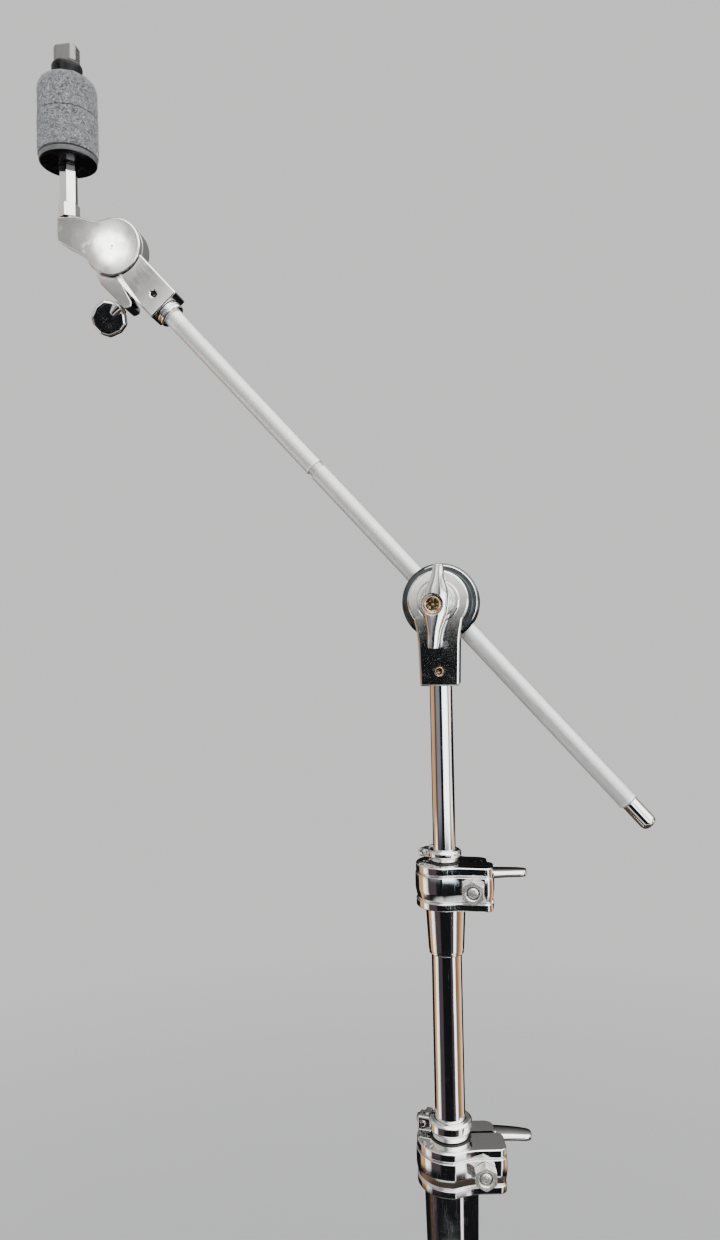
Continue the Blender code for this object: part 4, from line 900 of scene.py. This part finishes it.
def knurl_skin(name, radius, bore, spans, low, high, place):
    """A tube whose outer skin is a real diamond knurl inside the given spans."""
    around = 34
    per_cell = 4
    pitch = 1.7
    depth = 0.22
    count = around * per_cell
    step = pitch / per_cell
    heights = [low]
    profile = [radius - 0.5]
    rows = int((high - low) / step)
    for row in range(1, rows):
        heights.append(low + row * step)
        profile.append(radius)
    heights.append(high)
    profile.append(radius - 0.6)
    z = np.array(heights)
    base = np.array(profile)
    angle = 2 * math.pi * np.arange(count) / count
    a = np.arange(count)[None, :] / per_cell + z[:, None] / pitch
    b = np.arange(count)[None, :] / per_cell - z[:, None] / pitch
    valley = np.maximum(np.abs((a % 1) - 0.5), np.abs((b % 1) - 0.5)) * 2
    painted_shade_mask = np.zeros(len(z))
    smooth_cut = np.zeros(len(z))
    for start, end, kind in spans:
        hit = (z > start) & (z < end)
        if kind == "knurl":
            painted_shade_mask[hit] = 1
        else:
            smooth_cut[hit] = kind
    r = base[:, None] - depth * valley * painted_shade_mask[:, None] - smooth_cut[:, None]
    ring = np.stack([r * np.cos(angle), r * np.sin(angle), np.repeat(z[:, None], count, 1)], -1)
    inner_r = np.full(count, bore)
    caps = [np.stack([inner_r * np.cos(angle), inner_r * np.sin(angle), np.full(count, h)], -1)
            for h in (high, low)]
    corners = np.concatenate([ring.reshape(-1, 3)] + caps)
    total = len(z) + 2
    i = np.arange(count)
    j = (i + 1) % count
    faces = []
    for row in range(total):
        first = row * count
        second = ((row + 1) % total) * count
        faces.append(np.stack([first + i, first + j, second + j, second + i], -1))
    return make(name, corners.tolist(), np.concatenate(faces).tolist(), place)


def boom_tube(boom):
    low, high = extent("boom_tube", boom)
    groove = 123.5
    spans = [
        (low.z + 2, groove - 3.4, "knurl"), (groove - 2.1, groove + 2.1, 1),
        (groove + 3.4, 264, "knurl"), (275, high.z, 0.3),
    ]
    tube = knurl_skin("boom_tube_finished", 6.5, 4.5, spans, low.z, high.z, boom)
    settle(tube, "boom", ["boom_tube"], KNURL, sharp=60)

    bottom, top = extent("boom_end_rod", boom)
    plug = 4.5 - GAP
    step = low.z - GAP
    end = turned("boom_end_finished", [
        (0, top.z), (plug, top.z), (plug, step), (5.4, step), (5.4, bottom.z + 3),
        (4.6, bottom.z + 1), (3.2, bottom.z), (0, bottom.z),
    ], boom, STEPS, soft=0.6)
    settle(end, "boom", ["boom_end_rod"], CHROME)


def tilter_body(boom):
    """Split casting: a disc behind the arm, a socket block and a clamping ear."""
    pivot = boom.inverted() @ Vector(joint("cymbal_tilt")["pos_m"])
    disc = TILTER_DISC
    low, high = 280, 322
    body = box("tilter_body_finished", (-11, -9.5, low), (13.2, 9.5, high), boom, 1.2, 4)
    ear = [
        (-9, 318), (-13.6, 299), (-16.5, 297), (-20.5, 299), (-21, 326), (-16, 339), (-4, 332),
    ]
    upright = boom @ TOWARDS_FRONT
    join(body, plate("ear", ear, -8, 8, upright, 1, 1.5))
    centre = boom @ Matrix.Translation(pivot) @ TOWARDS_FRONT
    join(body, turned("disc", [
        (0, 5.3), (disc, 5.3), (disc, -7), (disc - 2, -9), (0, -9),
    ], centre, 144, soft=0.8))
    drill(body, disc + 0.8, 5, 20, centre, STEPS)
    drill(body, 4.3, -20, 20, centre)
    drill(body, BOOM + GAP, low - 10, 298 + 1.3, boom, STEPS)
    cut(body, plate("slit", [
        (-9.6, 290), (-13.4, 290), (-11.2, 301), (-6.5, 322), (-2.9, 337), (-0.6, 337), (-4.8, 316),
    ], -25, 25, upright))
    drill(body, 3.3, -2, 40, boom @ shift(0, 0, 307) @ TOWARDS_LEFT)
    pin = boom @ shift(1.2, 0, 291) @ TOWARDS_FRONT
    cut(body, turned("pin_hole", [
        (0, 20), (3.2, 20), (3.2, 9.6), (2.35, 9), (2.35, -20), (0, -20),
    ], pin, FINE_STEPS, soft=0))
    settle(body, "boom", ["tilter_body"], CAST_CHROME)

    roll = turned("roll_pin_finished", [
        (2, 7.9), (1.7, 8.3), (1.2, 8.3), (1.2, -8.5), (1.7, -8.5), (2, -8.1),
    ], pin, FINE_STEPS, hollow=True, soft=0.1)
    cut(roll, box("seam", (0, -0.25, -10), (3, 0.25, 10), pin))
    settle(roll, "boom", ["tilter_roll_pin"], NYLON)
    bottom, top = low - 6.5, low - GAP
    collar = turned("socket_collar_finished", [
        (8.4, top), (9.2, top - 0.8), (9.2, top - 2.4), (8.7, top - 2.9),
        (8.7, top - 3.4), (9.2, top - 3.9), (9.2, bottom + 0.8),
        (8.4, bottom), (BOOM + GAP, bottom), (BOOM + GAP, top),
    ], boom, STEPS, hollow=True, soft=0.3)
    settle(collar, "boom", ["boom_socket_collar"], CHROME)

    axis = boom @ shift(-21.4, 0, 307) @ TOWARDS_LEFT
    profile = [
        (0, 9), (3.6, 9), (5, 4), (5.4, 1), (4.6, 0), (3, 0),
    ] + thread(3, -4, -17.2, 1) + [(2.2, -18), (0, -18)]
    bolt = turned("tilter_wing_finished", profile, axis, FINE_STEPS, soft=0.4)
    outline = [
        (-6, 1.5), (6, 1.5), (11.4, 6), (12.4, 13), (9.4, 21), (4, 24), (-4, 24), (-9.4, 21),
        (-12.4, 13), (-11.4, 6),
    ]
    paddle = plate("paddle", outline, -3.2, 3.2, axis @ turn("Z", -15) @ TOWARDS_FRONT,
                   2.2, 1.2)
    join(bolt, paddle)
    settle(bolt, "tilter_wing", ["tilter_wing_bolt"], CAST_CHROME)


def tilter_arm(arm, rod_x, rod_y, arm_top):
    """Front disc with an arm that carries the cymbal rod, and its pivot bolt."""
    low, high = extent("tilter_arm", arm)
    disc = TILTER_DISC
    left = low.x
    right = left + 14.2
    outline = arc(disc, 197, 471, 72)
    outline += rounded([
        outline[-1], (-13.5, 19.4), (right, arm_top - 0.8), (left + 1, arm_top),
        (left, arm_top - 1.2), (left, 9), (left + 2.6, 6.2), outline[0],
    ], 2)[1:-1]
    upright = arm @ TOWARDS_FRONT
    front = -low.y
    back = 5.3
    body = plate("tilter_arm_finished", outline, back, front, upright, 1.2)
    boss = [
        (left + 0.5, 9.5), (left + 3.2, 6.8), (-30, 3), (right, 8),
        (right, arm_top - 1.3), (left + 1.5, arm_top - 0.5), (left + 0.5, arm_top - 1.8),
    ]
    join(body, plate("boss", boss, -high.y, front - 1, upright, 1.4, 1))
    drill(body, 4, 9, arm_top + 5, arm @ shift(rod_x, rod_y, 0))
    drill(body, 4.3, -20, 8.5, upright)
    cut(body, turned("dimple", [(0, front + 1), (1.1, front + 1),
                                (0.9, front - 0.1), (0, front - 0.9)], upright, FINE_STEPS, soft=0))
    settle(body, "cymbal_arm", ["tilter_arm"], FACE_CHROME)
    bolt = turned("pivot_bolt_finished", [
        (0, 8), (4, 8), (4, -9.3), (8, -9.3), (8, -12), (7, -13), (0, -13),
    ], upright, FINE_STEPS, soft=0.4)
    cut(bolt, turned("socket", [(0, -20), (2.9, -20), (2.9, -10.5),
                                (0, -9.8)], upright, 6, soft=0))
    settle(bolt, "cymbal_arm", ["tilter_pivot_bolt"], HARDWARE)


def cymbal_seat(seat):
    """Rod, lock nut and cup. Heights are above the arm's boss."""
    stud = 3.7
    nut_top = 9.8
    cup = 38.5
    across = 11 / math.sqrt(3)
    low, high = extent("cymbal_rod", seat)
    profile = [(0, high.z), (stud - 1, high.z)] + thread(stud, high.z - 0.4, 70)
    profile += [(stud, 70), (stud, low.z), (0, low.z)]
    rod_piece = turned("cymbal_rod_finished", profile, seat, FINE_STEPS, soft=0.1)
    outline = [(across * math.sin(math.radians(60 * i)), across * math.cos(math.radians(60 * i)))
               for i in range(6)]
    hexagon = plate("hexagon", outline, nut_top + GAP, cup - GAP, seat @ turn("Z", 12))
    join(rod_piece, bevel(hexagon, 0.45, 3, 30))
    settle(rod_piece, "cymbal_arm", ["cymbal_rod"], CHROME, sharp=28)
    nut = hex_nut("rod_nut_finished", NUT_ACROSS, nut_top - GAP, stud + GAP, seat @ shift(0, 0, GAP))
    settle(nut, "cymbal_arm", ["rod_lock_nut"], CHROME, sharp=28)
    bore = stud + GAP
    washer = turned("cup_washer_finished", [
        (5.6, cup + 57), (5.9, cup + 56.5), (5.9, cup + 5),
        (18.9, cup + 5), (19.8, cup + 4.7), (20.1, cup + 4),
        (19.9, cup + 1.4), (18.6, cup + 0.5), (16.5, cup),
        (9.2, cup), (8.8, cup + 0.5), (6.8, cup + 0.5), (6.4, cup), (bore, cup), (bore, cup + 57),
    ], seat, 144, hollow=True, soft=0.5)
    settle(washer, "cymbal_arm", ["cup_washer"], BLACK)


def felt(node, body, top_shoulder, seat, seed):
    """A felt washer: a soft uneven ring, its skin pressed from loose fibres."""
    low, high = extent(node, seat)
    radius = high.x - (0.35 if top_shoulder > 2 else 0)
    bore = 6.4
    edge = 0.3
    outline = [
        (bore, low.z), (radius - edge, low.z), (radius, low.z + edge),
        (radius, high.z - top_shoulder), (radius - top_shoulder * 0.13, high.z - top_shoulder * 0.5),
        (radius - top_shoulder * 0.5, high.z - top_shoulder * 0.13), (radius - top_shoulder, high.z),
        (bore, high.z),
    ]
    profile = rounded(outline, min(3, top_shoulder * 0.6), closed=True, count=6)
    dense = []
    for (r0, z0), (r1, z1) in zip(profile, profile[1:] + profile[:1]):
        parts = max(1, int(math.hypot(r1 - r0, z1 - z0) / (0.55)))
        for k in range(parts):
            dense.append((r0 + (r1 - r0) * k / parts, z0 + (z1 - z0) * k / parts))
    ring = turned(node + "_finished", dense, seat, 220, hollow=True, soft=0)
    offset = Vector((seed * 0.37, seed * 0.11, seed * 0.53))
    mesh = ring.data
    for vertex, facing in zip(mesh.vertices, [Vector(v.normal) for v in mesh.vertices]):
        place = vertex.co
        broad = noise.noise((place + offset) * 95)
        fine = noise.noise((place + offset) * 620)
        grain = noise.noise((place - offset) * 1500)
        away = -0.30 + 0.28 * broad + 0.20 * fine + 0.14 * grain
        vertex.co = place + facing * min(away, 0.02) * MM
    settle(ring, body, [node], FELT)

    rng = random.Random(seed)
    corners = []
    faces = []
    shades = []
    strands = 6500
    for _ in range(strands):
        around = rng.uniform(0, 2 * math.pi)
        height = rng.uniform(low.z + 0.8, high.z - 0.6)
        if top_shoulder > 2 and rng.random() < 0.12:
            height = low.z + rng.uniform(0.1, 0.7)
        heading = rng.uniform(0, math.pi)
        length = rng.uniform(1.2, 4.2)
        bend = rng.uniform(-2.2, 2.2)
        width = rng.uniform(0.05, 0.13)
        lift = rng.uniform(0, 0.35) if rng.random() > 0.12 else rng.uniform(0.3, 0.9)
        clump = noise.noise(Vector((around * radius, height, seed)) * 0.62)
        shade = min(1, max(0, rng.gauss(0.60 + 0.75 * clump, 0.20)))
        pieces = 4
        u, v = around * radius, height
        start = len(corners)
        for k in range(pieces + 1):
            t = k / pieces
            direction = heading + bend * (t - 0.5)
            z = min(max(v, low.z + 0.15), high.z - 0.3)
            shoulder = max(0, z - (high.z - top_shoulder))
            fall = (top_shoulder - math.sqrt(max(0, top_shoulder ** 2 - shoulder ** 2))
                    if shoulder else 0)
            foot = max(0, low.z + edge - z)
            fall = max(fall, edge - math.sqrt(max(0, edge ** 2 - foot ** 2)) if foot else 0)
            reach = radius - fall - 0.25 + lift * math.sin(math.pi * min(1, t * 1.15)) ** 2
            angle = u / radius
            taper = width * (1 - 0.6 * abs(2 * t - 1))
            side = Vector((-math.sin(angle) * math.sin(direction),
                           math.cos(angle) * math.sin(direction), -math.cos(direction)))
            centre = Vector((reach * math.cos(angle), reach * math.sin(angle), z))
            corners.append(tuple(centre + side * taper))
            corners.append(tuple(centre - side * taper))
            shades += [shade, shade]
            u += math.cos(direction) * length / pieces
            v += math.sin(direction) * length / pieces
        for k in range(pieces):
            a = start + 2 * k
            faces.append((a, a + 1, a + 3, a + 2))
    mesh = bpy.data.meshes.new(node + "_fibres")
    mesh.from_pydata((np.array(corners) * MM).tolist(), [], faces)
    mesh.attributes.new("shade", "FLOAT", "POINT").data.foreach_set("value", shades)
    fuzz = bpy.data.objects.new(node + "_fibres", mesh)
    bpy.context.scene.collection.objects.link(fuzz)
    fuzz.matrix_world = seat
    mesh.shade_smooth()
    mesh.materials.append(FIBRE)
    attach(fuzz, body)


def cymbal_nut(seat):
    """Quick-release nut: a round black flange under an oblong grey sleeve."""
    low, high = extent("cymbal_nut", seat)
    bore = 4.1
    joint_z = high.z
    flange = turned("cymbal_nut_finished", [
        (8.6, joint_z), (10.2, joint_z - 0.9), (10.8, joint_z - 2.2),
        (10.6, joint_z - 5), (9.6, low.z + 3), (9.3, low.z), (bore, low.z), (bore, joint_z),
    ], seat, 144, hollow=True, soft=0.5)
    settle(flange, "top_nut", ["cymbal_nut"], BLACK)
    half_wide = 8.3
    half_deep = 6.2
    chamfer = 2.6
    corners = []
    for x_sign, y_sign in ((1, -1), (1, 1), (-1, 1), (-1, -1)):
        near = (x_sign * half_wide, y_sign * (half_deep - chamfer))
        far = (x_sign * (half_wide - chamfer), y_sign * half_deep)
        corners += [near, far] if x_sign * y_sign > 0 else [far, near]
    bottom, top = extent("nut_release_sleeve", seat)
    sleeve = plate("nut_sleeve_finished", corners, bottom.z, top.z, seat, 0.9, 0.7)
    for height in (3, 6, 9):
        for side in (-1, 1):
            cut(sleeve, box("rib", (side * half_wide - 0.35, -2.2, bottom.z + height - 0.4),
                            (side * half_wide + 0.35, 2.2, bottom.z + height + 0.4), seat))
    drill(sleeve, bore, bottom.z - 2, bottom.z + 7, seat)
    settle(sleeve, "top_nut", ["nut_release_sleeve"], SLEEVE)


# ---------------------------------------------------------------- tripod

AZIMUTHS = (180, 60, 300)
PIVOT = 26


def ring_with_lugs(name, node, radius, lug, slot):
    """A chamfered ring on the base tube with three lugs or forks."""
    low, high = extent(node)
    middle = {"leg_collar": (low.z + high.z) / 2, "bottom_hub": 23}[node]
    bore = BASE_TUBE + GAP
    ring = turned(name, [
        (radius - 1, high.z), (radius, high.z - 1), (radius, middle + 3.4),
        (radius - 0.7, middle + 2.4), (radius - 0.7, middle - 2.4),
        (radius, middle - 3.4), (radius, low.z + 1), (radius - 1, low.z),
        (bore, low.z), (bore, high.z),
    ], STILL, STEPS, hollow=True, soft=0.5)
    for azimuth in AZIMUTHS:
        place = turn("Z", azimuth)
        join(ring, box("lug", (15, -lug, middle - 6), (PIVOT + 6, lug, middle + 6),
                       place, 1.6, 4))
        if slot:
            cut(ring, box("slot", (17, -slot, middle - 23), (PIVOT + 15, slot, middle + 27),
                          place))
        drill(ring, 2.9, -12, 12, place @ shift(PIVOT, 0, middle) @ TOWARDS_FRONT)
    return ring, middle


def pin(name, node, body, head, place):
    """A pivot rivet with a domed head on one side and a peened end on the other."""
    piece = turned(name, [
        (0, head + 1.5), (2.4, head + 1.4), (3.9, head + 0.9),
        (4.2, head + 0.3), (4.2, head), (2.6, head),
        (2.6, -head + 0.7), (2.1, -head + 0.4), (0, -head + 0.4),
    ], place, FINE_STEPS, soft=0.2)
    settle(piece, body, [node], HARDWARE)


def strip(length, half_width):
    return arc(half_width, 0, 180, 28) + arc(half_width, 180, 360, 28, (0, -length))


def foot_ring(near, far, half_width, height):
    corner = 4
    return [
        (far - corner, -half_width, height), (far, -half_width + corner, height),
        (far, half_width - corner, height), (far - corner, half_width, height),
        (near + corner, half_width, height), (near, half_width - corner, height),
        (near, -half_width + corner, height), (near + corner, -half_width, height),
    ]


def tripod():
    collar, height = ring_with_lugs("leg_collar_finished", "leg_collar", 17.5, 3.8, 0)
    place = shift(0, 0, height) @ TOWARDS_RIGHT
    join(collar, turned("boss", [(0, 24), (6.2, 24), (7, 23.2), (7, 15),
                                 (0, 15)], place, FINE_STEPS))
    drill(collar, 3.4, 5, 30, place)
    settle(collar, "tripod_collar", ["leg_collar"], CAST_CHROME)
    axis = shift(24 + GAP, 0, height) @ TOWARDS_RIGHT @ turn("Z", 90)
    bolt = wing_bolt("collar_wing_finished", 3, 10.8, 6.6, 10, 26, 18,
                     5.2, axis)
    settle(bolt, "tripod_wing", ["leg_collar_wing_bolt"], CAST_CHROME)

    hub, hub_height = ring_with_lugs("bottom_hub_finished", "bottom_hub", 16.5, 5, 2)
    settle(hub, "root", ["bottom_hub"], CAST_CHROME)
    plug = turned("end_plug_finished", [
        (0, 26), (10.8, 26), (10.8, 6.7), (14.5, 6.7), (14.5, 4.6), (14, 4.2), (14, 3.4), (14.5, 3),
        (14.5, 1), (13.5, 0), (0, 0),
    ], STILL, STEPS, soft=0.4)
    settle(plug, "root", ["end_plug"], RUBBER)

    length = 420
    tip = 18
    brace_length = 190
    lean_angle = math.degrees(math.acos((height - hub_height) / (2 * brace_length)))
    for index, azimuth in enumerate(AZIMUTHS, 1):
        heading = turn("Z", azimuth)
        lean = heading @ shift(PIVOT, 0, height) @ turn("Y", -lean_angle)
        leg = plate("leg_%d_finished" % index, strip(length - tip, 7), -6.2, 6.2,
                    lean @ TOWARDS_FRONT, 0.7)
        cut(leg, box("channel", (-20, -4.2, -length + 34), (20, 4.2, 20), lean))
        drill(leg, 2.9, -12, 12, lean @ TOWARDS_FRONT)
        for share in (0.62, 0.86):
            rivet = turned("rivet", [
                (0, 7), (1.9, 6.8), (2.8, 6.2), (2, 6), (2, -6), (2.8, -6.2), (1.9, -6.8), (0, -7),
            ], lean @ shift(0, 0, -share * length) @ TOWARDS_FRONT, FINE_STEPS, soft=0.2)
            join(leg, rivet)
        settle(leg, "tripod_leg_%d" % index, ["leg_%d" % index], LEG_CHROME)
        pin("leg_%d_pin_finished" % index, "leg_%d_pin" % index, "tripod_collar", 6.5,
            lean @ TOWARDS_FRONT)

        reach = PIVOT + length * math.sin(math.radians(lean_angle))
        ground = heading @ shift(reach, 0, 0)
        foot = loft("foot_%d_finished" % index, [
            foot_ring(-16, 14, 11.7, 0), foot_ring(-17, 15, 12.5, 0.3),
            foot_ring(-18.6, 15.8, 13.2, 1.4), foot_ring(-19, 16, 13.5, 2.4),
            foot_ring(-20, 15.2, 13.5, 3.2), foot_ring(-34, 4, 12.5, 13),
            foot_ring(-49, -16.4, 11.2, 25.2), foot_ring(-49.6, -17.6, 10.4, 26),
        ], ground)
        pocket = plate("pocket", strip(length - tip, 7 + GAP), -6.5, 6.5, lean @ TOWARDS_FRONT)
        cut(foot, pocket)
        for rib in (-11, -4, 3, 10):
            cut(foot, box("tread", (rib - 0.9, -20, -1), (rib + 0.9, 20, 0.9), ground))
        bevel(foot, 0.35, 2, 25)
        settle(foot, "tripod_leg_%d" % index, ["foot_%d" % index], RUBBER)

        tilt = heading @ shift(PIVOT, 0, hub_height) @ turn("Y", lean_angle + 180)
        brace = plate("brace_%d_finished" % index, strip(brace_length, 5.5), -1.6, 1.6,
                      tilt @ TOWARDS_FRONT, 0.5)
        join(brace, turned("stud", [(0, 3.9), (3, 3.9), (3.4, 3.5),
                                    (3.4, -3.5), (3, -3.9), (0, -3.9)],
                           tilt @ shift(0, 0, -brace_length) @ TOWARDS_FRONT, FINE_STEPS))
        drill(brace, 2.9, -12, 12, tilt @ TOWARDS_FRONT)
        settle(brace, "tripod_brace_%d" % index, ["brace_%d" % index], LEG_CHROME)
        pin("brace_%d_pin_finished" % index, "brace_%d_pin" % index, "root", 5.3,
            tilt @ TOWARDS_FRONT)


# ---------------------------------------------------------------- studio

def studio():
    """Pale floor and backdrop, soft light, and a dark room with soft boxes for the plating."""
    mesh = bpy.data.meshes.new("studio_floor")
    size = 6.0
    mesh.from_pydata([(-size, -size, 0.0), (size, -size, 0.0), (size, size, 0.0), (-size, size, 0.0)],
                     [], [(0, 1, 2, 3)])
    floor = bpy.data.objects.new("studio_floor", mesh)
    bpy.context.scene.collection.objects.link(floor)
    floor.location.z = CAD_BOX[0].z - 0.05 * MM
    mesh.materials.append(floor_sweep("studio_floor_paint"))
    floor.visible_glossy = False

    for name, place, aim, size, power in (
            ("key", (1.1, -1.3, 2.2), (0.0, 0.0, 0.9), 1.2, 26.0),
            ("fill", (-1.6, -1.0, 1.4), (0.0, 0.0, 0.8), 1.4, 9.0)):
        lamp = bpy.data.lights.new(name, "AREA")
        lamp.size = size
        lamp.energy = power
        light = bpy.data.objects.new(name, lamp)
        bpy.context.scene.collection.objects.link(light)
        light.location = place
        direction = Vector(aim) - Vector(place)
        light.rotation_euler = direction.to_track_quat("-Z", "Y").to_euler()
        light.visible_glossy = False
        light.visible_camera = False
    room()


def room():
    """World: what each kind of ray sees."""
    world = bpy.data.worlds.new("studio")
    bpy.context.scene.world = world
    world.use_nodes = True
    world.node_tree.nodes.clear()
    nodes = Nodes(world.node_tree)
    add, calc = nodes.add, nodes.math

    def step(value, low, high):
        node = add("ShaderNodeMapRange", {0: value, 1: low, 2: high}, interpolation_type="SMOOTHSTEP")
        return node.outputs[0]

    def toward(azimuth, elevation):
        """Cosine between the ray and a direction; azimuth 0 is the viewer's side, 90 the right."""
        a, e = math.radians(azimuth), math.radians(elevation)
        aim = (math.sin(a) * math.cos(e), -math.cos(a) * math.cos(e), math.sin(e))
        node = add("ShaderNodeVectorMath", {0: ray, 1: aim}, operation="DOT_PRODUCT")
        return node.outputs["Value"]

    ray = add("ShaderNodeTexCoord").outputs["Generated"]
    parts = add("ShaderNodeSeparateXYZ", {0: ray}).outputs
    azimuth = calc("ARCTAN2", parts[0], calc("MULTIPLY", parts[1], -1.0))
    share = calc("ADD", calc("DIVIDE", azimuth, 2 * math.pi), 0.5)

    def around(stops, strength):
        """Colours by azimuth, in degrees from -180 to 180."""
        colour = nodes.ramp(share, *[(degrees / 360 + 0.5, colour) for degrees, colour in stops])
        return add("ShaderNodeVectorMath", {0: colour, "Scale": strength},
                   operation="SCALE").outputs[0]

    def mix(factor, first, second):
        return add("ShaderNodeMix", {0: factor, 6: first, 7: second}, data_type="RGBA").outputs[2]

    dark = (0.002, 0.0022, 0.0026)
    tan = (0.18, 0.104, 0.054)
    white = (1.0, 1.0, 1.0)
    grey = (0.060, 0.058, 0.066)
    level = around([
        (-180, dark), (-134, dark), (-126, tan), (-76, (0.15, 0.085, 0.045)),
        (-70, (0.012, 0.009, 0.008)), (-60, (0.02, 0.019, 0.022)), (-50, grey), (-18, grey),
        (-12, dark), (9, dark), (14, (0.75, 0.93, 1.0)), (40, white), (66, (0.72, 0.93, 1.0)),
        (71, (0.14, 0.085, 0.045)), (84, (0.16, 0.10, 0.06)), (88, (0.5, 0.5, 0.48)),
        (106, (0.45, 0.45, 0.43)), (112, dark), (180, dark),
    ], 4.6)
    mauve = (0.018, 0.014, 0.016)
    lower = around([
        (-180, dark), (-118, dark), (-114, tan), (-92, tan), (-86, (0.60, 0.58, 0.56)),
        (-72, (0.40, 0.37, 0.34)), (-64, mauve), (-34, mauve), (-28, dark), (30, dark),
        (35, mauve), (49, mauve), (53, (0.6, 0.6, 0.6)), (65, (0.6, 0.62, 0.65)),
        (70, (0.06, 0.032, 0.015)), (90, (0.09, 0.05, 0.025)), (104, tan),
        (128, (0.30, 0.24, 0.19)), (136, dark), (180, dark),
    ], 4.6)
    lowest = around([
        (-180, dark), (-112, dark), (-102, (0.022, 0.012, 0.007)), (-84, mauve),
        (-60, dark), (40, dark),
        (43, (0.5, 0.45, 0.5)), (50, (0.4, 0.35, 0.35)), (54, dark), (180, dark),
    ], 4.6)
    steep = around([
        (-180, dark), (-130, (0.06, 0.036, 0.022)), (-60, (0.04, 0.028, 0.02)),
        (-36, (0.24, 0.25, 0.24)),
        (24, (0.27, 0.28, 0.27)), (46, (0.02, 0.018, 0.016)), (110, (0.06, 0.036, 0.022)),
        (150, dark), (180, dark),
    ], 4.0)
    beneath = mix(step(parts[2], -0.19, -0.25), level, lower)
    beneath = mix(step(parts[2], -0.50, -0.54), beneath, lowest)
    beneath = mix(step(parts[2], -0.60, -0.66), beneath, steep)
    beneath = mix(step(parts[2], -0.70, -0.78), beneath, (0.07, 0.055, 0.045, 1.0))

    cap = step(toward(55, 56), 0.50, 0.88)
    left_wall = step(toward(-80, 24), 0.72, 0.90)
    panel = step(toward(-8, 12), 0.955, 0.978)
    lamp = step(toward(-24.4, 23.4), 0.99981, 0.99995)
    halo = step(toward(-24.4, 23.4), 0.9992, 0.9999)
    ahead = step(parts[1], 0.99, 0.75)
    glow = calc("ADD", calc("MULTIPLY", cap, 4.0), calc("MULTIPLY", left_wall, 0.45))
    glow = calc("ADD", glow, calc("ADD", calc("MULTIPLY", panel, 1.7), 0.36))
    glow = calc("MULTIPLY", glow, ahead)
    glow = calc("ADD", glow, calc("ADD", calc("MULTIPLY", lamp, 7.0), calc("MULTIPLY", halo, 0.3)))
    above = add("ShaderNodeVectorMath", {0: (1.0, 0.99, 0.97), "Scale": glow},
                operation="SCALE").outputs[0]
    seen = mix(step(parts[2], 0.0, 0.09), beneath, above)

    path = add("ShaderNodeLightPath").outputs
    glossy = add("ShaderNodeBackground", {0: seen, 1: 1.0})
    soft = add("ShaderNodeBackground", {0: (0.95, 0.97, 1.0, 1.0), 1: 0.62})
    camera = add("ShaderNodeBackground", {0: (0.80, 0.80, 0.795, 1.0), 1: 1.0})
    first = add("ShaderNodeMixShader",
                {0: path["Is Glossy Ray"], 1: soft.outputs[0], 2: glossy.outputs[0]})
    second = add("ShaderNodeMixShader",
                 {0: path["Is Camera Ray"], 1: first.outputs[0], 2: camera.outputs[0]})
    add("ShaderNodeOutputWorld", {0: second.outputs[0]})


def viewpoint():
    """Camera close to the pole, level with the boom clamp."""
    data = bpy.data.cameras.new("camera")
    data.sensor_width = 36.0
    data.lens = 25.55
    data.clip_start = 0.02
    camera = bpy.data.objects.new("camera", data)
    bpy.context.scene.collection.objects.link(camera)
    pitch = math.radians(0.9)
    roll = math.radians(1.16)
    ahead = Vector((-0.156, 0.988, 0.0)).normalized()
    side = ahead.cross(Vector((0.0, 0.0, 1.0)))
    forward = ahead * math.cos(pitch) + Vector((0.0, 0.0, math.sin(pitch)))
    above = side.cross(forward)
    right = side * math.cos(roll) - above * math.sin(roll)
    up = above * math.cos(roll) + side * math.sin(roll)
    pivot = Vector(joint("boom_tilt")["pos_m"])
    place = Vector((pivot.x + 0.0374, pivot.y - 0.584, pivot.z - 0.0198))
    matrix = Matrix((right, up, -forward)).transposed().to_4x4()
    camera.matrix_world = Matrix.Translation(place) @ matrix
    bpy.context.scene.camera = camera


# ---------------------------------------------------------------- everything

def build():
    slide = Vector(joint("boom_slide")["axis"])
    boom = at_joint("boom_tilt") @ Matrix.Rotation(math.atan2(slide.x, slide.z), 4, "Y")
    arm = at_joint("cymbal_tilt")
    nut_low, nut_high = extent("rod_lock_nut")
    seat = shift((nut_low.x + nut_high.x) / 2, (nut_low.y + nut_high.y) / 2, nut_low.z - GAP)

    pole()
    boom_bracket()
    boom_drum(boom)
    boom_wing()
    boom_tube(boom)
    tilter_body(boom)
    offset = (arm.inverted() @ seat.translation) / MM
    tilter_arm(arm, offset.x, offset.y, offset.z)
    cymbal_seat(seat)
    felt("lower_felt", "felt_below", 0.5, seat, 3)
    felt("upper_felt", "felt_above", 8, seat, 8)
    cymbal_nut(seat)
    tripod()


build()
studio()
viewpoint()
